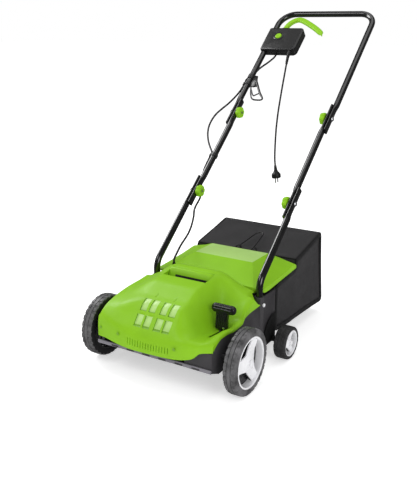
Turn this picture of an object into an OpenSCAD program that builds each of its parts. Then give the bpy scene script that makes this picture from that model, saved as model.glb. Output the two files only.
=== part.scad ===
// Electric lawn dethatcher with a folding handle, a cranked front axle and a catch bag.
// Lengths in millimetres. Machine axes: +X right, +Y rearwards, +Z up; the front wheels' centres are on Y = 0.
// The row's origin is under the middle of the machine, so every sub-part is shifted by row().

/* [Wheels] */
// Radius of the front wheels
front_r = 100; // [90:1:102]
// Radius of the rear wheels
rear_r = 54; // [50:1:56]
// Distance of the wheels' outer faces from the middle
track_half = 279; // [276:1:290]
// Width of the tyres
tyre_w = 43; // [36:1:44]

/* [Deck] */
// Half width of the hood
hood_half = 207; // [205:1:208]
// Wall thickness of the moulded covers
wall = 2.5; // [2:0.1:3]
// Furthest point of the hood's nose in front of the front wheels' centres
nose_y = 128; // [124:1:132]
// Distance of the rear axle behind the front wheels' centres
wheelbase = 270; // [265:1:275]

/* [Reel and motor] */
// Radius of the reel's tine tips
tine_r = 74; // [66:1:76]
// Number of tine stations along the reel
tine_stations = 14; // [8:1:15]
// Radius of the motor casing
motor_r = 42; // [36:1:42]

/* [Handle] */
// Slope of the handle from the ground, in degrees
handle_slope = 41.2; // [38:0.1:43]
// Outer radius of the handle tubes
tube_r = 11; // [10:0.5:11]
// Distance from the tube's bend to the lower fold
lower_fold_s = 305; // [295:1:315]
// Distance from the tube's bend to the upper fold
upper_fold_s = 675; // [660:1:690]
// Distance from the tube's bend to the crossbar
crossbar_s = 1207; // [1190:1:1220]

/* [Bag] */
// Half width of the catch bag
bag_half = 197; // [190:1:197]
// Height of the bag's top rear edge
bag_top = 313; // [290:1:320]

/* [Hidden] */
$fn = 48;

black = "#18181a";
dark_grey = "#3c3d3f";
green = "#8dc63f";
steel = "#9a9da0";
light_rim = "#d8dadc";
tyre_grey = "#4a4a4c";

// clearances: a turning fit, a fixed fit, and the gap between separate bodies
running = 0.05;
fixed_gap = 0.05;
body_gap = 0.3;

// handle line, from the tube's bend
bend_y = 200;
bend_z = 266;
leg_x = 194.1;
mid_leg_x = 181.8;
tube_wall = 1.2;
bend_r = 60;
corner_r = 62;
flat_w = 27;
flat_t = 12;
flat_free = 58;
flat_body = 66;
bolt_r = 4;
crossbar_y = bend_y + crossbar_s * cos(handle_slope) + tube_r;
mid_y = (crossbar_y - nose_y) / 2;

// axle, crank, reel and motor places, as [y, z]
crank_at = [-38, 118];
wheel_at = [0, front_r];
rear_at = [wheelbase, rear_r];
reel_at = [115, 91];
motor_at = [-5, 162];
flap_pin_at = [210, 234];
crank_rod_r = 7;
stub_r = 6;
wall_x = 204.2;
wall_t = 4;
arm_x = 223;
arm_t = 8;
shaft_r = 10;
bearing_r = 21;
bearing_x = 187;
bearing_w = 12;
belt_x = 209;
belt_w = 8;
reel_pulley_r = 36;
motor_pulley_r = 13;
belt_t = 4;
lever_x = 160;

// knobs sit inside the inner tube flats
knob_r = 21.5;
knob_t = 18;
lobe_r = 6.5;
knob_face = mid_leg_x - flat_t / 2 - body_gap;

// switch box, in the handle's own frame: x, s along the tubes, n out of the handle's face
box_x0 = -208;
box_x1 = -60;
box_s0 = 990;
box_s1 = 1110;
box_n0 = -15;
box_n1 = 18;
box_wall = 2.5;
lever_pivot = [-150, 1098];
lever_w = 22;
lever_t = 14;
button_at = [-154, 1062];
button_r = 13;
button_travel = 4;

// ---------- helpers ----------

// moves machine coordinates to the row's frame
module row() translate([0, -mid_y, 0]) children();

// a profile drawn in (y, z), solid from x0 to x1
module yz(x0, x1) translate([x0, 0, 0]) rotate([90, 0, 90]) linear_extrude(x1 - x0) children();

// a cylinder along X from x0 to x1 about a [y, z] axis
module rod(at, r, x0, x1) translate([x0, at[0], at[1]]) rotate([0, 90, 0]) cylinder(r = r, h = x1 - x0);

// the same on the left (side -1) or the right (side 1), from x0 to x1 away from the middle
module side_rod(at, r, x0, x1, side) rod(at, r, min(side * x0, side * x1), max(side * x0, side * x1));

// the handle's own frame: x, s along the tubes, n out of the face
module on_handle() translate([0, bend_y, bend_z]) rotate([handle_slope, 0, 0]) children();

function handle_point(x, s, n) = [
  x,
  bend_y + s * cos(handle_slope) - n * sin(handle_slope),
  bend_z + s * sin(handle_slope) + n * cos(handle_slope)
];

function handle_yz(s) = [handle_point(0, s, 0)[1], handle_point(0, s, 0)[2]];

function unit(v) = v / norm(v);
function mix(a, b, t) = a + (b - a) * t;
function clamp01(t) = min(1, max(0, t));
function smooth(a, b, x) = let(t = clamp01((x - a) / (b - a))) t * t * (3 - 2 * t);

// a closed shell between a grid of outer points and the same grid moved inwards by t
function grid_normal(g, i, j) =
  let(
    m = len(g), n = len(g[0]),
    du = g[i][min(j + 1, n - 1)] - g[i][max(j - 1, 0)],
    dv = g[min(i + 1, m - 1)][j] - g[max(i - 1, 0)][j]
  ) unit(cross(du, dv));

module grid_shell(g, t) {
  m = len(g);
  n = len(g[0]);
  outer = [for (i = [0:m - 1]) for (j = [0:n - 1]) g[i][j]];
  inner = [for (i = [0:m - 1]) for (j = [0:n - 1]) g[i][j] - t * grid_normal(g, i, j)];
  quads = concat(
    [for (i = [0:m - 2]) for (j = [0:n - 2])
      [i * n + j, (i + 1) * n + j, (i + 1) * n + j + 1, i * n + j + 1]],
    [for (i = [0:m - 2]) for (j = [0:n - 2])
      let(k = m * n) [k + i * n + j, k + i * n + j + 1, k + (i + 1) * n + j + 1, k + (i + 1) * n + j]],
    [for (j = [0:n - 2]) let(k = m * n) [j, j + 1, k + j + 1, k + j]],
    [for (j = [0:n - 2]) let(a = (m - 1) * n + j, k = m * n) [a + 1, a, k + a, k + a + 1]],
    [for (i = [0:m - 2]) let(a = i * n, k = m * n) [a + n, a, k + a, k + a + n]],
    [for (i = [0:m - 2]) let(a = i * n + n - 1, k = m * n) [a, a + n, k + a + n, k + a]]
  );
  faces = [for (q = quads) each [[q[0], q[1], q[2]], [q[0], q[2], q[3]]]];
  polyhedron(concat(outer, inner), faces);
}

// a smooth run of points through a hand-set route, n steps between neighbours
function spline_at(p, i, t) =
  let(
    a = p[max(i - 1, 0)], b = p[i], c = p[i + 1], d = p[min(i + 2, len(p) - 1)]
  ) 0.5 * (2 * b + (c - a) * t + (2 * a - 5 * b + 4 * c - d) * t * t + (3 * b - a - 3 * c + d) * t * t * t);
function spline(p, n) = concat(
  [for (i = [0:len(p) - 2]) for (k = [0:n - 1]) spline_at(p, i, k / n)], [p[len(p) - 1]]
);

// a tube swept along points, with 8 sides and one radius per point
module sweep(p, radii, side_ref = [1, 0, 0]) {
  sides = 8;
  last = len(p) - 1;
  rings = [for (i = [0:last])
    let(
      t = unit(p[min(i + 1, last)] - p[max(i - 1, 0)]),
      u = unit(cross(t, side_ref)),
      v = cross(t, u)
    ) for (k = [0:sides - 1]) p[i] + radii[i] * (u * cos(k * 360 / sides) + v * sin(k * 360 / sides))];
  skin = [for (i = [0:last - 1]) for (k = [0:sides - 1])
    let(a = i * sides + k, b = i * sides + (k + 1) % sides)
      each [[a, a + sides, b], [b, a + sides, b + sides]]];
  near_end = [[for (k = [0:sides - 1]) k]];
  far_end = [[for (k = [sides - 1:-1:0]) last * sides + k]];
  polyhedron(rings, concat(skin, near_end, far_end));
}

module cable(p, r) sweep(p, [for (q = p) r]);

// a flat band of a given width along a line of 2D points
module band(p, w) {
  last = len(p) - 1;
  sides = [for (i = [0:last])
    let(t = unit(p[min(i + 1, last)] - p[max(i - 1, 0)])) [-t[1], t[0]] * w / 2];
  polygon(concat([for (i = [0:last]) p[i] + sides[i]], [for (i = [last:-1:0]) p[i] - sides[i]]));
}

// the outline round two pulleys: an arc round each, joined by their tangent lines
module belt_outline(r1, r2) {
  d = reel_at - motor_at;
  heading = atan2(d[1], d[0]);
  lean = acos((r1 - r2) / norm(d));
  steps = 24;
  polygon(concat(
    [for (k = [0:steps])
      let(a = heading + mix(lean, 360 - lean, k / steps)) motor_at + r1 * [cos(a), sin(a)]],
    [for (k = [0:steps]) let(a = heading + mix(-lean, lean, k / steps)) reel_at + r2 * [cos(a), sin(a)]]
  ));
}

// ---------- hood ----------

// heights along the middle of the bonnet, on the shoulders, in the lever pocket and along its outer rim
bonnet_line = [[-128, 152], [-118, 166], [-93, 196], [-56, 239], [-22, 252], [35, 278], [88, 285], [144, 296],
  [172, 290], [197, 262]];
shoulder_line = [[-100, 185], [-61, 208], [-9, 222], [51, 230], [104, 233], [165, 238], [197, 236]];
pocket_line = [[-100, 176], [-60, 172], [-15, 166], [33, 163], [50, 167], [62, 175], [76, 186], [92, 199],
  [125, 224], [150, 236], [197, 236]];
rim_line = [[-100, 180], [-80, 184], [-49, 192], [-21, 192], [23, 184], [57, 186], [74, 190], [95, 212],
  [125, 228], [165, 238], [197, 236]];
// lower edges: along the front, and along each side
front_edge = [[-207, 110], [-163, 115], [-129, 113], [-72, 110], [17, 112], [80, 114], [132, 121], [150, 128],
  [173, 147], [207, 152]];
right_edge = [[-97, 152], [-80, 166], [-49, 178], [-21, 178], [23, 172], [57, 174], [74, 177], [86, 190],
  [125, 197], [197, 199]];
left_edge = [[-97, 110], [-80, 140], [-49, 170], [-21, 176], [23, 172], [57, 174], [74, 177], [86, 190],
  [125, 197], [197, 199]];
hood_rear_y = 197;
hood_columns = [-207, -203, -193, -175, -150, -125, -100, -80, -50, -20, 20, 50, 74, 88, 98, 108, 118, 130,
  146, 162, 176, 188, 197, 203, 207];
hood_rows = [0, 0.04, 0.1, 0.17, 0.25, 0.34, 0.44, 0.54, 0.64, 0.7, 0.76, 0.83, 0.9, 0.95, 1];

function hood_front_y(x) = -nose_y + (nose_y - 97) * pow(abs(x) / hood_half, 2.5);

function plain_z(x, y) =
  mix(lookup(y, bonnet_line), lookup(y, shoulder_line), smooth(68, 188, abs(x)));

function pocket_z(x, y) = mix(lookup(y, pocket_line), lookup(y, rim_line), smooth(176, 200, x));

function edge_drop(x) = 12 * pow(clamp01((abs(x) - 190) / 17), 2);

function hood_z(x, y) =
  let(in_pocket = smooth(86, 128, x) * (1 - smooth(90, 150, y)))
  mix(plain_z(x, y), pocket_z(x, y), in_pocket) - edge_drop(x) * (x > 0 ? 0.5 : 1);

function hood_low_side(x, y) = x < 0 ? lookup(y, left_edge) : lookup(y, right_edge);

hood_grid = let(cols = len(hood_columns) - 1) [
  for (i = [-1:len(hood_rows) - 1]) [
    for (j = [-1:cols + 1])
      let(
        skirt = j < 0 || j > cols,
        pull_in = i < 0 && !skirt ? 0.99 : 1,
        x = hood_columns[min(max(j, 0), cols)] * pull_in,
        push_back = i == 0 && skirt ? 2.5 : 0,
        y = mix(hood_front_y(x), hood_rear_y, hood_rows[max(i, 0)]) + push_back,
        z = i < 0 ? lookup(x, front_edge) : skirt ? hood_low_side(x, y) : hood_z(x, y)
      ) [x, y, z]
  ]
];

// carry grip slot: half length, front and rear of its mouth, and how far it runs under the bar
grip_half = 77;
grip_y0 = 74;
grip_y1 = 106;
grip_under = 132;
grip_floor = 256;
// slot that the height lever's arm swings in
slot_y0 = -46;
slot_y1 = 50;
slot_w = 7;
hood_screws_at = [[-190, 143], [-109, 147], [94, 147]];
screw_r = 2.5;
screw_head_r = 4.5;
gland_at = [-100, 165];
gland_r = 6;

module hood() color(green) row() difference() {
  union() {
    grid_shell(hood_grid, wall);
    yz(-grip_half - wall, grip_half + wall) polygon(concat(
      [[grip_under + wall, grip_floor - wall], [grip_y0 - wall, grip_floor - wall]],
      [for (y = [grip_y0 - wall, grip_y0, grip_y1, grip_under + wall]) [y, lookup(y, bonnet_line) - 1.9]]
    ));
  }
  translate([-grip_half, grip_y0, grip_floor]) cube([2 * grip_half, grip_y1 - grip_y0, 60]);
  translate([-grip_half, grip_y1 - 1, grip_floor]) cube([2 * grip_half, grip_under - grip_y1 + 1, 25]);
  translate([lever_x - slot_w / 2, slot_y0, 120]) cube([slot_w, slot_y1 - slot_y0, 90]);
  for (side = [-1, 1]) translate([side * 194 - 16, 183, 150]) cube([32, 40, 120]);
  for (p = hood_screws_at) translate([p[0], -140, p[1]]) rotate([-90, 0, 0]) {
    cylinder(r = screw_r + 0.1, h = 60);
    cylinder(r = screw_head_r + 0.3, h = 140 + hood_front_y(p[0]) - 0.1);
  }
  yz(-hood_half - 1, -hood_half + 4) belt_outline(motor_pulley_r + 10.5, reel_pulley_r + 10.5);
  translate([gland_at[0], gland_at[1], 200]) cylinder(r = gland_r + fixed_gap, h = 120);
}

module hood_screws() color(black) row() for (p = hood_screws_at)
  translate([p[0], hood_front_y(p[0]) - 2.2, p[1]]) rotate([-90, 0, 0]) {
    cylinder(r = screw_head_r, h = 2);
    cylinder(r = screw_r, h = 16);
  }

// ---------- base ----------

base_z = 72;
lip_z = 88;
lip_y = -99;
lip_t = 4;
ear_z0 = 178;
tunnel_r = 88;
tunnel_t = 4;
chute_angle = 62;
rear_y = 292;
mouth_z = 214;
socket_r = 15;
socket_z0 = 100;
socket_z1 = 221;
ear_x = 168;

module wall_outline(front_top, side_line) polygon(concat(
  [[-97, lip_z], [-97, front_top - 7], [-94, front_top - 7], [-94, front_top]],
  [for (p = side_line) if (p[0] > -94 && p[0] < 183) [p[0], p[1] + 5]],
  [[183, 204], [190, 218], [rear_y, 218], [rear_y, base_z], [290, base_z], [284, 46], [256, 46],
    [250, base_z], [-60, base_z]]
));

module tunnel_roof() {
  difference() {
    translate(reel_at) circle(r = tunnel_r + tunnel_t);
    translate(reel_at) circle(r = tunnel_r);
    translate([-200, -200]) square([600, 200 + reel_at[1]]);
    polygon([reel_at, reel_at + [200, 200 * tan(chute_angle)], reel_at + [300, 0]]);
  }
  outwards = [cos(chute_angle), sin(chute_angle)];
  roof_end = reel_at + tunnel_r * outwards;
  polygon([roof_end, roof_end + tunnel_t * outwards, [rear_y, mouth_z + tunnel_t], [rear_y, mouth_z]]);
}

module base_solid() {
  yz(wall_x - wall_t, wall_x) wall_outline(157, right_edge);
  yz(-wall_x, -wall_x + wall_t) wall_outline(115, left_edge);
  yz(-wall_x, wall_x) tunnel_roof();
  yz(-wall_x, wall_x) translate([lip_y, lip_z]) square([lip_t, 12]);
  yz(112, wall_x) translate([lip_y, lip_z]) square([lip_t, 60]);
  yz(-wall_x, wall_x) translate([lip_y, lip_z]) square([reel_at[0] - tunnel_r - tunnel_t / 2 - lip_y, 4]);
  for (side = [-1, 1]) {
    translate([side * leg_x, bend_y, socket_z0]) cylinder(r = socket_r, h = socket_z1 - socket_z0);
    side_rod(reel_at, bearing_r + 4, bearing_x - 1, wall_x, side);
    rod(flap_pin_at, 5, side * ear_x - 3, side * ear_x + 3);
    translate([side * ear_x - 3, flap_pin_at[0] - 5, ear_z0]) cube([6, 10, flap_pin_at[1] - ear_z0]);
  }
  for (x = [-110, 40]) translate([x - 3, 0, 0]) yz(0, 6)
    polygon([[-26, lip_z + 2], [-26, motor_at[1] - 20], [22, motor_at[1] - 20], [22, lip_z + 2]]);
  for (p = hood_screws_at) {
    boss_y = hood_front_y(p[0]) + wall + 3.5;
    translate([p[0], boss_y, p[1]]) rotate([-90, 0, 0]) cylinder(r = 6, h = max(3, lip_y - boss_y + 2));
    tab_x = max(p[0] - 8, -191);
    translate([tab_x, lip_y, lip_z + 1]) cube([p[0] + 8 - tab_x, lip_t, p[1] - lip_z + 7]);
  }
}

module base_housing() color(dark_grey) row() difference() {
  base_solid();
  for (side = [-1, 1]) {
    translate([side * leg_x, bend_y, socket_z0 + 4]) cylinder(r = tube_r + fixed_gap, h = 130);
    side_screw_hole(side);
  }
  rod(crank_at, crank_rod_r + running, -230, 230);
  rod(rear_at, stub_r + fixed_gap, -230, 230);
  rod(flap_pin_at, 3 + fixed_gap, -190, 190);
  rod(reel_at, bearing_r + fixed_gap, -230, -bearing_x + 2);
  rod(reel_at, bearing_r + fixed_gap, bearing_x - 2, bearing_x + bearing_w + 1);
  rod(motor_at, 8, -230, -190);
  rod(motor_at, motor_r + fixed_gap, -140, 70);
  for (p = hood_screws_at) translate([p[0], -140, p[1]]) rotate([-90, 0, 0])
    cylinder(r = screw_r + fixed_gap, h = 70);
}

side_screw_z = 195;
side_screw_r = 3;
module side_screw_hole(side) translate([side * leg_x, bend_y, side_screw_z]) rotate([0, 90, 0])
  cylinder(r = side_screw_r + fixed_gap, h = 60, center = true);
module side_screws() color(steel) row() for (side = [-1, 1]) translate([side * leg_x, bend_y, side_screw_z])
  rotate([0, side * 90, 0]) {
    translate([0, 0, -13]) cylinder(r = side_screw_r, h = 30);
    translate([0, 0, socket_r + 0.5]) cylinder(r = 6, h = 3.5);
  }

module cable_gland() color(black) row() translate([gland_at[0], gland_at[1], 262]) difference() {
  union() {
    cylinder(r = gland_r, h = 22);
    translate([0, 0, 22]) cylinder(r1 = gland_r, r2 = 5, h = 6);
  }
  translate([0, 0, -1]) cylinder(r = 3.5 + fixed_gap, h = 60);
}

// ---------- reel, belt and motor ----------

module reel_bearings() color(steel) row() for (side = [-1, 1]) difference() {
  side_rod(reel_at, bearing_r, bearing_x, bearing_x + bearing_w, side);
  rod(reel_at, shaft_r + running, -220, 220);
}

module reel_shaft() color(steel) row() rod(reel_at, shaft_r, -belt_x - belt_w, bearing_x + bearing_w);

tine_pitch = 24.5;
tine_twist = 47;
collar_r = 14;
tine_wire = 1.6;
module reel_tines() color(steel) row() for (i = [0:tine_stations - 1])
  translate([(i - (tine_stations - 1) / 2) * tine_pitch, reel_at[0], reel_at[1]])
    rotate([i * tine_twist, 0, 0]) difference() {
      union() {
        rotate([0, 90, 0]) cylinder(r = collar_r, h = 10, center = true);
        for (k = [0:2]) rotate([k * 120, 0, 0]) translate([0, 0, shaft_r + 1])
          cylinder(r = tine_wire, h = tine_r - shaft_r - 1);
      }
      rotate([0, 90, 0]) cylinder(r = shaft_r + fixed_gap, h = 20, center = true);
    }

module pulley(at, r, bore) difference() {
  union() {
    rod(at, r, -belt_x - belt_w, -belt_x);
    rod(at, r + 2, -belt_x, -belt_x + 1.5);
  }
  rod(at, bore + fixed_gap, -240, -190);
}
module reel_pulley() color(dark_grey) row() pulley(reel_at, reel_pulley_r, shaft_r);
module motor_pulley() color(steel) row() pulley(motor_at, motor_pulley_r, stub_r);

module drive_belt() color(black) row() yz(-belt_x - belt_w + 0.5, -belt_x - 0.5) difference() {
  belt_outline(motor_pulley_r + belt_t, reel_pulley_r + belt_t);
  belt_outline(motor_pulley_r + body_gap, reel_pulley_r + body_gap);
}

cover_x = belt_x + belt_w + 1.5;
module belt_cover() color(black) row() difference() {
  yz(-cover_x - 2, -wall_x - fixed_gap) belt_outline(motor_pulley_r + 10, reel_pulley_r + 10);
  yz(-cover_x, -wall_x + 1) belt_outline(motor_pulley_r + 8, reel_pulley_r + 8);
}

motor_x0 = -135;
motor_x1 = 65;
module motor_housing() color(steel) row() difference() {
  rod(motor_at, motor_r, motor_x0, motor_x1);
  rod(motor_at, motor_r - 3, motor_x0 + 6, motor_x1 - 6);
  rod(motor_at, stub_r + running, motor_x0 - 1, motor_x1 - 3);
  for (k = [0:5]) translate([0, motor_at[0], motor_at[1]]) rotate([k * 60, 0, 0])
    translate([motor_x1 - 8, 0, 26]) rotate([0, 90, 0]) cylinder(r = 5, h = 20);
}

module motor_rotor() color(steel) row() {
  rod(motor_at, stub_r, -belt_x - belt_w, motor_x1 - 3.5);
  rod(motor_at, 26, -100, 10);
}

module motor_fan() color(black) row() translate([0, motor_at[0], motor_at[1]]) difference() {
  union() {
    translate([26, 0, 0]) rotate([0, 90, 0]) cylinder(r = 12, h = 20);
    for (k = [0:6]) rotate([k * 360 / 7, 0, 0]) translate([28, -1.5, 8]) cube([16, 3, 28]);
  }
  translate([20, 0, 0]) rotate([0, 90, 0]) cylinder(r = stub_r + fixed_gap, h = 40);
}

// ---------- axles, wheels and height lever ----------

module front_axle() color(steel) row() {
  rod(crank_at, crank_rod_r, -arm_x - arm_t, arm_x + arm_t);
  for (side = [-1, 1]) {
    a = min(side * arm_x, side * (arm_x + arm_t));
    yz(a, a + arm_t) {
      band([crank_at, wheel_at], 24);
      translate(crank_at) circle(r = 12);
      translate(wheel_at) circle(r = 12);
    }
    side_rod(wheel_at, stub_r, arm_x, 275, side);
  }
}

module axle_cap(at, side) difference() {
  side_rod(at, 9, 272, 277.5, side);
  side_rod(at, stub_r + fixed_gap, 260, 275.2, side);
}
module front_axle_caps() color(black) row() for (side = [-1, 1]) axle_cap(wheel_at, side);
module rear_axle_caps() color(black) row() for (side = [-1, 1]) axle_cap(rear_at, side);
module rear_axle() color(steel) row() rod(rear_at, stub_r, -275, 275);

// a tyre with rounded shoulders, its outer face at track_half
module tyre(at, r, w, side) translate([side * (track_half - w / 2), at[0], at[1]]) rotate([0, 90, 0])
  rotate_extrude($fn = 96) {
    inner = 0.78 * r;
    c = 6;
    polygon(concat(
      [[inner, -w / 2], [inner, w / 2]],
      [for (k = [0:4]) [r - c + c * sin(k * 22.5), w / 2 - c + c * cos(k * 22.5)]],
      [for (k = [0:4]) [r - c + c * cos(k * 22.5), -w / 2 + c - c * sin(k * 22.5)]]
    ));
  }

// a rim with three broad spokes; the hub runs inwards to hub_x0
module rim(at, r, w, side, hub_x0) {
  outer = 0.78 * r - fixed_gap;
  inner = outer - 0.07 * r;
  hub_r = max(15, 0.2 * r);
  face = track_half - 8;
  back = track_half - w + 2;
  translate([0, at[0], at[1]]) difference() {
    union() {
      difference() {
        side_rod([0, 0], outer, back, track_half - 2, side);
        rod([0, 0], inner, -300, 300);
      }
      side_rod([0, 0], hub_r, hub_x0, face, side);
      for (k = [0:2]) rotate([180 + k * 120, 0, 0])
        yz(side > 0 ? face - 18 : 3 - face, side > 0 ? face - 3 : 18 - face)
          polygon([[-1, -hub_r * 0.8], [inner + 1.2, -inner * 0.27], [inner + 1.2, inner * 0.27],
            [-1, hub_r * 0.8]]);
    }
    rod([0, 0], stub_r + running, -300, 300);
  }
}

module front_tyre_left() color(tyre_grey) row() tyre(wheel_at, front_r, tyre_w, -1);
module front_tyre_right() color(tyre_grey) row() tyre(wheel_at, front_r, tyre_w, 1);
module rear_tyre_left() color(tyre_grey) row() tyre(rear_at, rear_r, tyre_w - 1, -1);
module rear_tyre_right() color(tyre_grey) row() tyre(rear_at, rear_r, tyre_w - 1, 1);
module front_rim_left() color(light_rim) row() rim(wheel_at, front_r, tyre_w, -1, arm_x + arm_t + 1);
module front_rim_right() color(light_rim) row() rim(wheel_at, front_r, tyre_w, 1, arm_x + arm_t + 1);
module rear_rim_left() color(light_rim) row() rim(rear_at, rear_r, tyre_w - 1, -1, wall_x + 2);
module rear_rim_right() color(light_rim) row() rim(rear_at, rear_r, tyre_w - 1, 1, wall_x + 2);

lever_foot = [33, 166];
grip_bottom = [36, 175];
grip_top = [43, 218];
module height_lever() color(steel) row() difference() {
  union() {
    yz(lever_x - 2, lever_x + 2) band([crank_at, lever_foot, grip_bottom, grip_top], 14);
    rod(crank_at, 13, lever_x - 7, lever_x + 7);
  }
  rod(crank_at, crank_rod_r + fixed_gap, lever_x - 10, lever_x + 10);
}

grip_gap = 0.1;
module height_lever_grip() color(black) row() difference() {
  union() {
    yz(lever_x - 16, lever_x + 16) band([[35, 172], [42, 222]], 22);
    translate([lever_x, 43, 227]) rotate([0, 90, 0]) cylinder(r = 10, h = 75, center = true);
  }
  yz(lever_x - 2 - grip_gap, lever_x + 2 + grip_gap)
    band([[30, 150], lever_foot, grip_bottom, grip_top, [43.2, 219]], 14 + 2 * grip_gap);
}

// ---------- rear flap ----------

flap_rows = [206, 224, 252, 280, 309, 365, 421, 441, 454];
flap_plateau = [[206, 243], [224, 251], [309, 286], [421, 286], [441, 278], [454, 262]];
flap_shoulder = [[206, 241], [224, 240], [341, 247], [441, 258], [454, 250]];
flap_edge = [[206, 236], [224, 226], [240, 224], [341, 232], [454, 240]];
flap_inner_x = [[206, 168], [224, 160], [309, 110], [454, 110]];
flap_front_x = [[206, 178], [218, 178], [224, 201], [454, 201]];
function flap_x(y, k) = let(a = lookup(y, flap_inner_x), b = lookup(y, flap_front_x))
  k == 0 ? 0 : sign(k) * [0, a / 2, a, mix(a, b, 0.5), b, b][abs(k)];
flap_grid = [for (y = flap_rows) [for (k = [-5:5])
  let(top = lookup(y, flap_plateau), shoulder = lookup(y, flap_shoulder), edge = lookup(y, flap_edge))
  [flap_x(y, k), y, [top, top, top, mix(top, shoulder, 0.5), shoulder, edge][abs(k)]]]];

module rear_flap() color(green) row() difference() {
  union() {
    grid_shell(flap_grid, wall);
    for (x = [-140, 0, 140]) {
      rod(flap_pin_at, 6, x - 15, x + 15);
      translate([x - 15, flap_pin_at[0] - 2, flap_pin_at[1] + 2]) cube([30, 10, 7.5]);
    }
  }
  rod(flap_pin_at, 3 + running, -190, 190);
}

module flap_hinge_pin() color(steel) row() rod(flap_pin_at, 3, -ear_x - 5, ear_x + 5);

module flap_spring() color(steel) row() difference() {
  rod(flap_pin_at, 5, 60, 90);
  rod(flap_pin_at, 3.2, 50, 100);
}

// ---------- bag ----------

bag_mouth_y = 306;
bag_profile = [[bag_mouth_y, 64], [411, 54], [696, 42], [700, 46], [668, bag_top - 4], [663, bag_top],
  [460, 269], [456, 238], [bag_mouth_y, 218]];
bag_skin = 2;
module bag_shell() color(dark_grey) row() difference() {
  union() {
    yz(-bag_half, bag_half) polygon(bag_profile);
    for (side = [-1, 1])
      translate([side * eye_x - 1.5, bail_root[0] - 5, bail_root[1] - 9]) cube([3, 10, 14]);
  }
  rod(bail_root, bail_wire + 0.4 + running, -eye_x - 10, eye_x + 10);
  yz(-bag_half + bag_skin, bag_half - bag_skin) offset(delta = -bag_skin) polygon(bag_profile);
  yz(-bag_half + bag_skin, bag_half - bag_skin) polygon([[bag_mouth_y - 1, 67], [bag_mouth_y + 4, 67],
    [bag_mouth_y + 4, 215], [bag_mouth_y - 1, 215]]);
}

frame_t = 10;
module bag_frame() color(black) row() difference() {
  yz(-bag_half, bag_half) translate([bag_mouth_y - frame_t, 65]) square([frame_t - fixed_gap, 152]);
  yz(-bag_half + frame_t, bag_half - frame_t) translate([bag_mouth_y - 2 * frame_t, 65 + frame_t])
    square([3 * frame_t, 152 - 2 * frame_t]);
}

bail_root = [472, 279];
bail_wire = 2;
bag_slope = atan((bag_top - 269) / (663 - 460));
bail_line = [[-27, 0, 0], [-25, 20, 0], [-21, 52, 0], [-16, 88, 0], [-13.5, 101, 0], [-8, 108, 0],
  [0, 110, 0], [8, 108, 0], [13.5, 101, 0], [16, 88, 0], [21, 52, 0], [25, 20, 0], [27, 0, 0]];
bail_half = 27;
eye_x = 31;
module bag_bail() color(black) row() {
  translate([0, bail_root[0], bail_root[1]]) rotate([bag_slope, 0, 0])
    sweep(bail_line, [for (q = bail_line) bail_wire], [0, 0, 1]);
  for (side = [-1, 1]) side_rod(bail_root, bail_wire + 0.4, bail_half - 2.6, eye_x + 5, side);
}

// ---------- handle ----------

// a pressed-flat tube end, hollow, round at its free end
module flat_end(x, s, free_dir) translate([x, s, 0]) rotate([0, 90, 0]) difference() {
  linear_extrude(flat_t, center = true) flat_outline(free_dir, 0);
  linear_extrude(flat_t - 2 * 1.6, center = true) flat_outline(free_dir, 1.6);
  cylinder(r = bolt_r + running, h = 40, center = true);
}
module flat_outline(free_dir, inset) {
  r = flat_w / 2 - inset;
  near_s = free_dir * (flat_free - flat_w / 2);
  far_s = -free_dir * (flat_body - inset);
  translate([0, near_s]) circle(r = r);
  translate([-r, min(near_s, far_s)]) square([2 * r, abs(near_s - far_s)]);
}
module leg(x, s0, s1) translate([x, s0, 0]) rotate([-90, 0, 0]) difference() {
  cylinder(r = tube_r, h = s1 - s0);
  translate([0, 0, -1]) cylinder(r = tube_r - tube_wall, h = s1 - s0 + 2);
}
module torus_part(r, angle, swell = 0) rotate_extrude(angle = angle, $fn = 96) translate([r, 0])
  difference() {
    circle(r = tube_r + swell);
    circle(r = tube_r - tube_wall - swell);
  }

// the bend is slightly fuller than the straight tube and laps over it, as a pressed bend does
bend_swell = 0.15;
bend_lap = 1;
bend_cut = bend_r * tan((90 - handle_slope) / 2);
module lower_tube(side) {
  difference() {
    union() {
      translate([side * leg_x, bend_y, socket_z0 + 4.1]) difference() {
        cylinder(r = tube_r, h = bend_z - bend_cut - socket_z0 - 4.1);
        translate([0, 0, -1]) cylinder(r = tube_r - tube_wall, h = 200);
      }
      translate([side * leg_x, bend_y + bend_r, bend_z - bend_cut]) rotate([90, 0, 90])
        rotate(90 + handle_slope - bend_lap) torus_part(bend_r, 90 - handle_slope + 2 * bend_lap, bend_swell);
      on_handle() leg(side * leg_x, bend_cut, lower_fold_s - flat_body + 1);
    }
    side_screw_hole(side);
  }
  on_handle() flat_end(side * leg_x, lower_fold_s, 1);
}
module lower_tube_left() color(black) row() lower_tube(-1);
module lower_tube_right() color(black) row() lower_tube(1);

module middle_tube(side) on_handle() {
  flat_end(side * mid_leg_x, lower_fold_s, -1);
  leg(side * mid_leg_x, lower_fold_s + flat_body - 1, upper_fold_s - flat_body + 1);
  flat_end(side * mid_leg_x, upper_fold_s, 1);
}
module middle_tube_left() color(black) row() middle_tube(-1);
module middle_tube_right() color(black) row() middle_tube(1);

module upper_tube() color(black) row() on_handle() {
  for (side = [-1, 1]) {
    flat_end(side * leg_x, upper_fold_s, -1);
    leg(side * leg_x, upper_fold_s + flat_body - 1, crossbar_s - corner_r);
  }
  translate([leg_x - corner_r, crossbar_s - corner_r, 0]) torus_part(corner_r, 90);
  translate([-leg_x + corner_r, crossbar_s - corner_r, 0]) rotate([0, 0, 90]) torus_part(corner_r, 90);
  translate([-leg_x + corner_r, crossbar_s, 0]) rotate([0, 90, 0]) difference() {
    cylinder(r = tube_r, h = 2 * (leg_x - corner_r));
    translate([0, 0, -1]) cylinder(r = tube_r - tube_wall, h = 500);
  }
}

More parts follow.
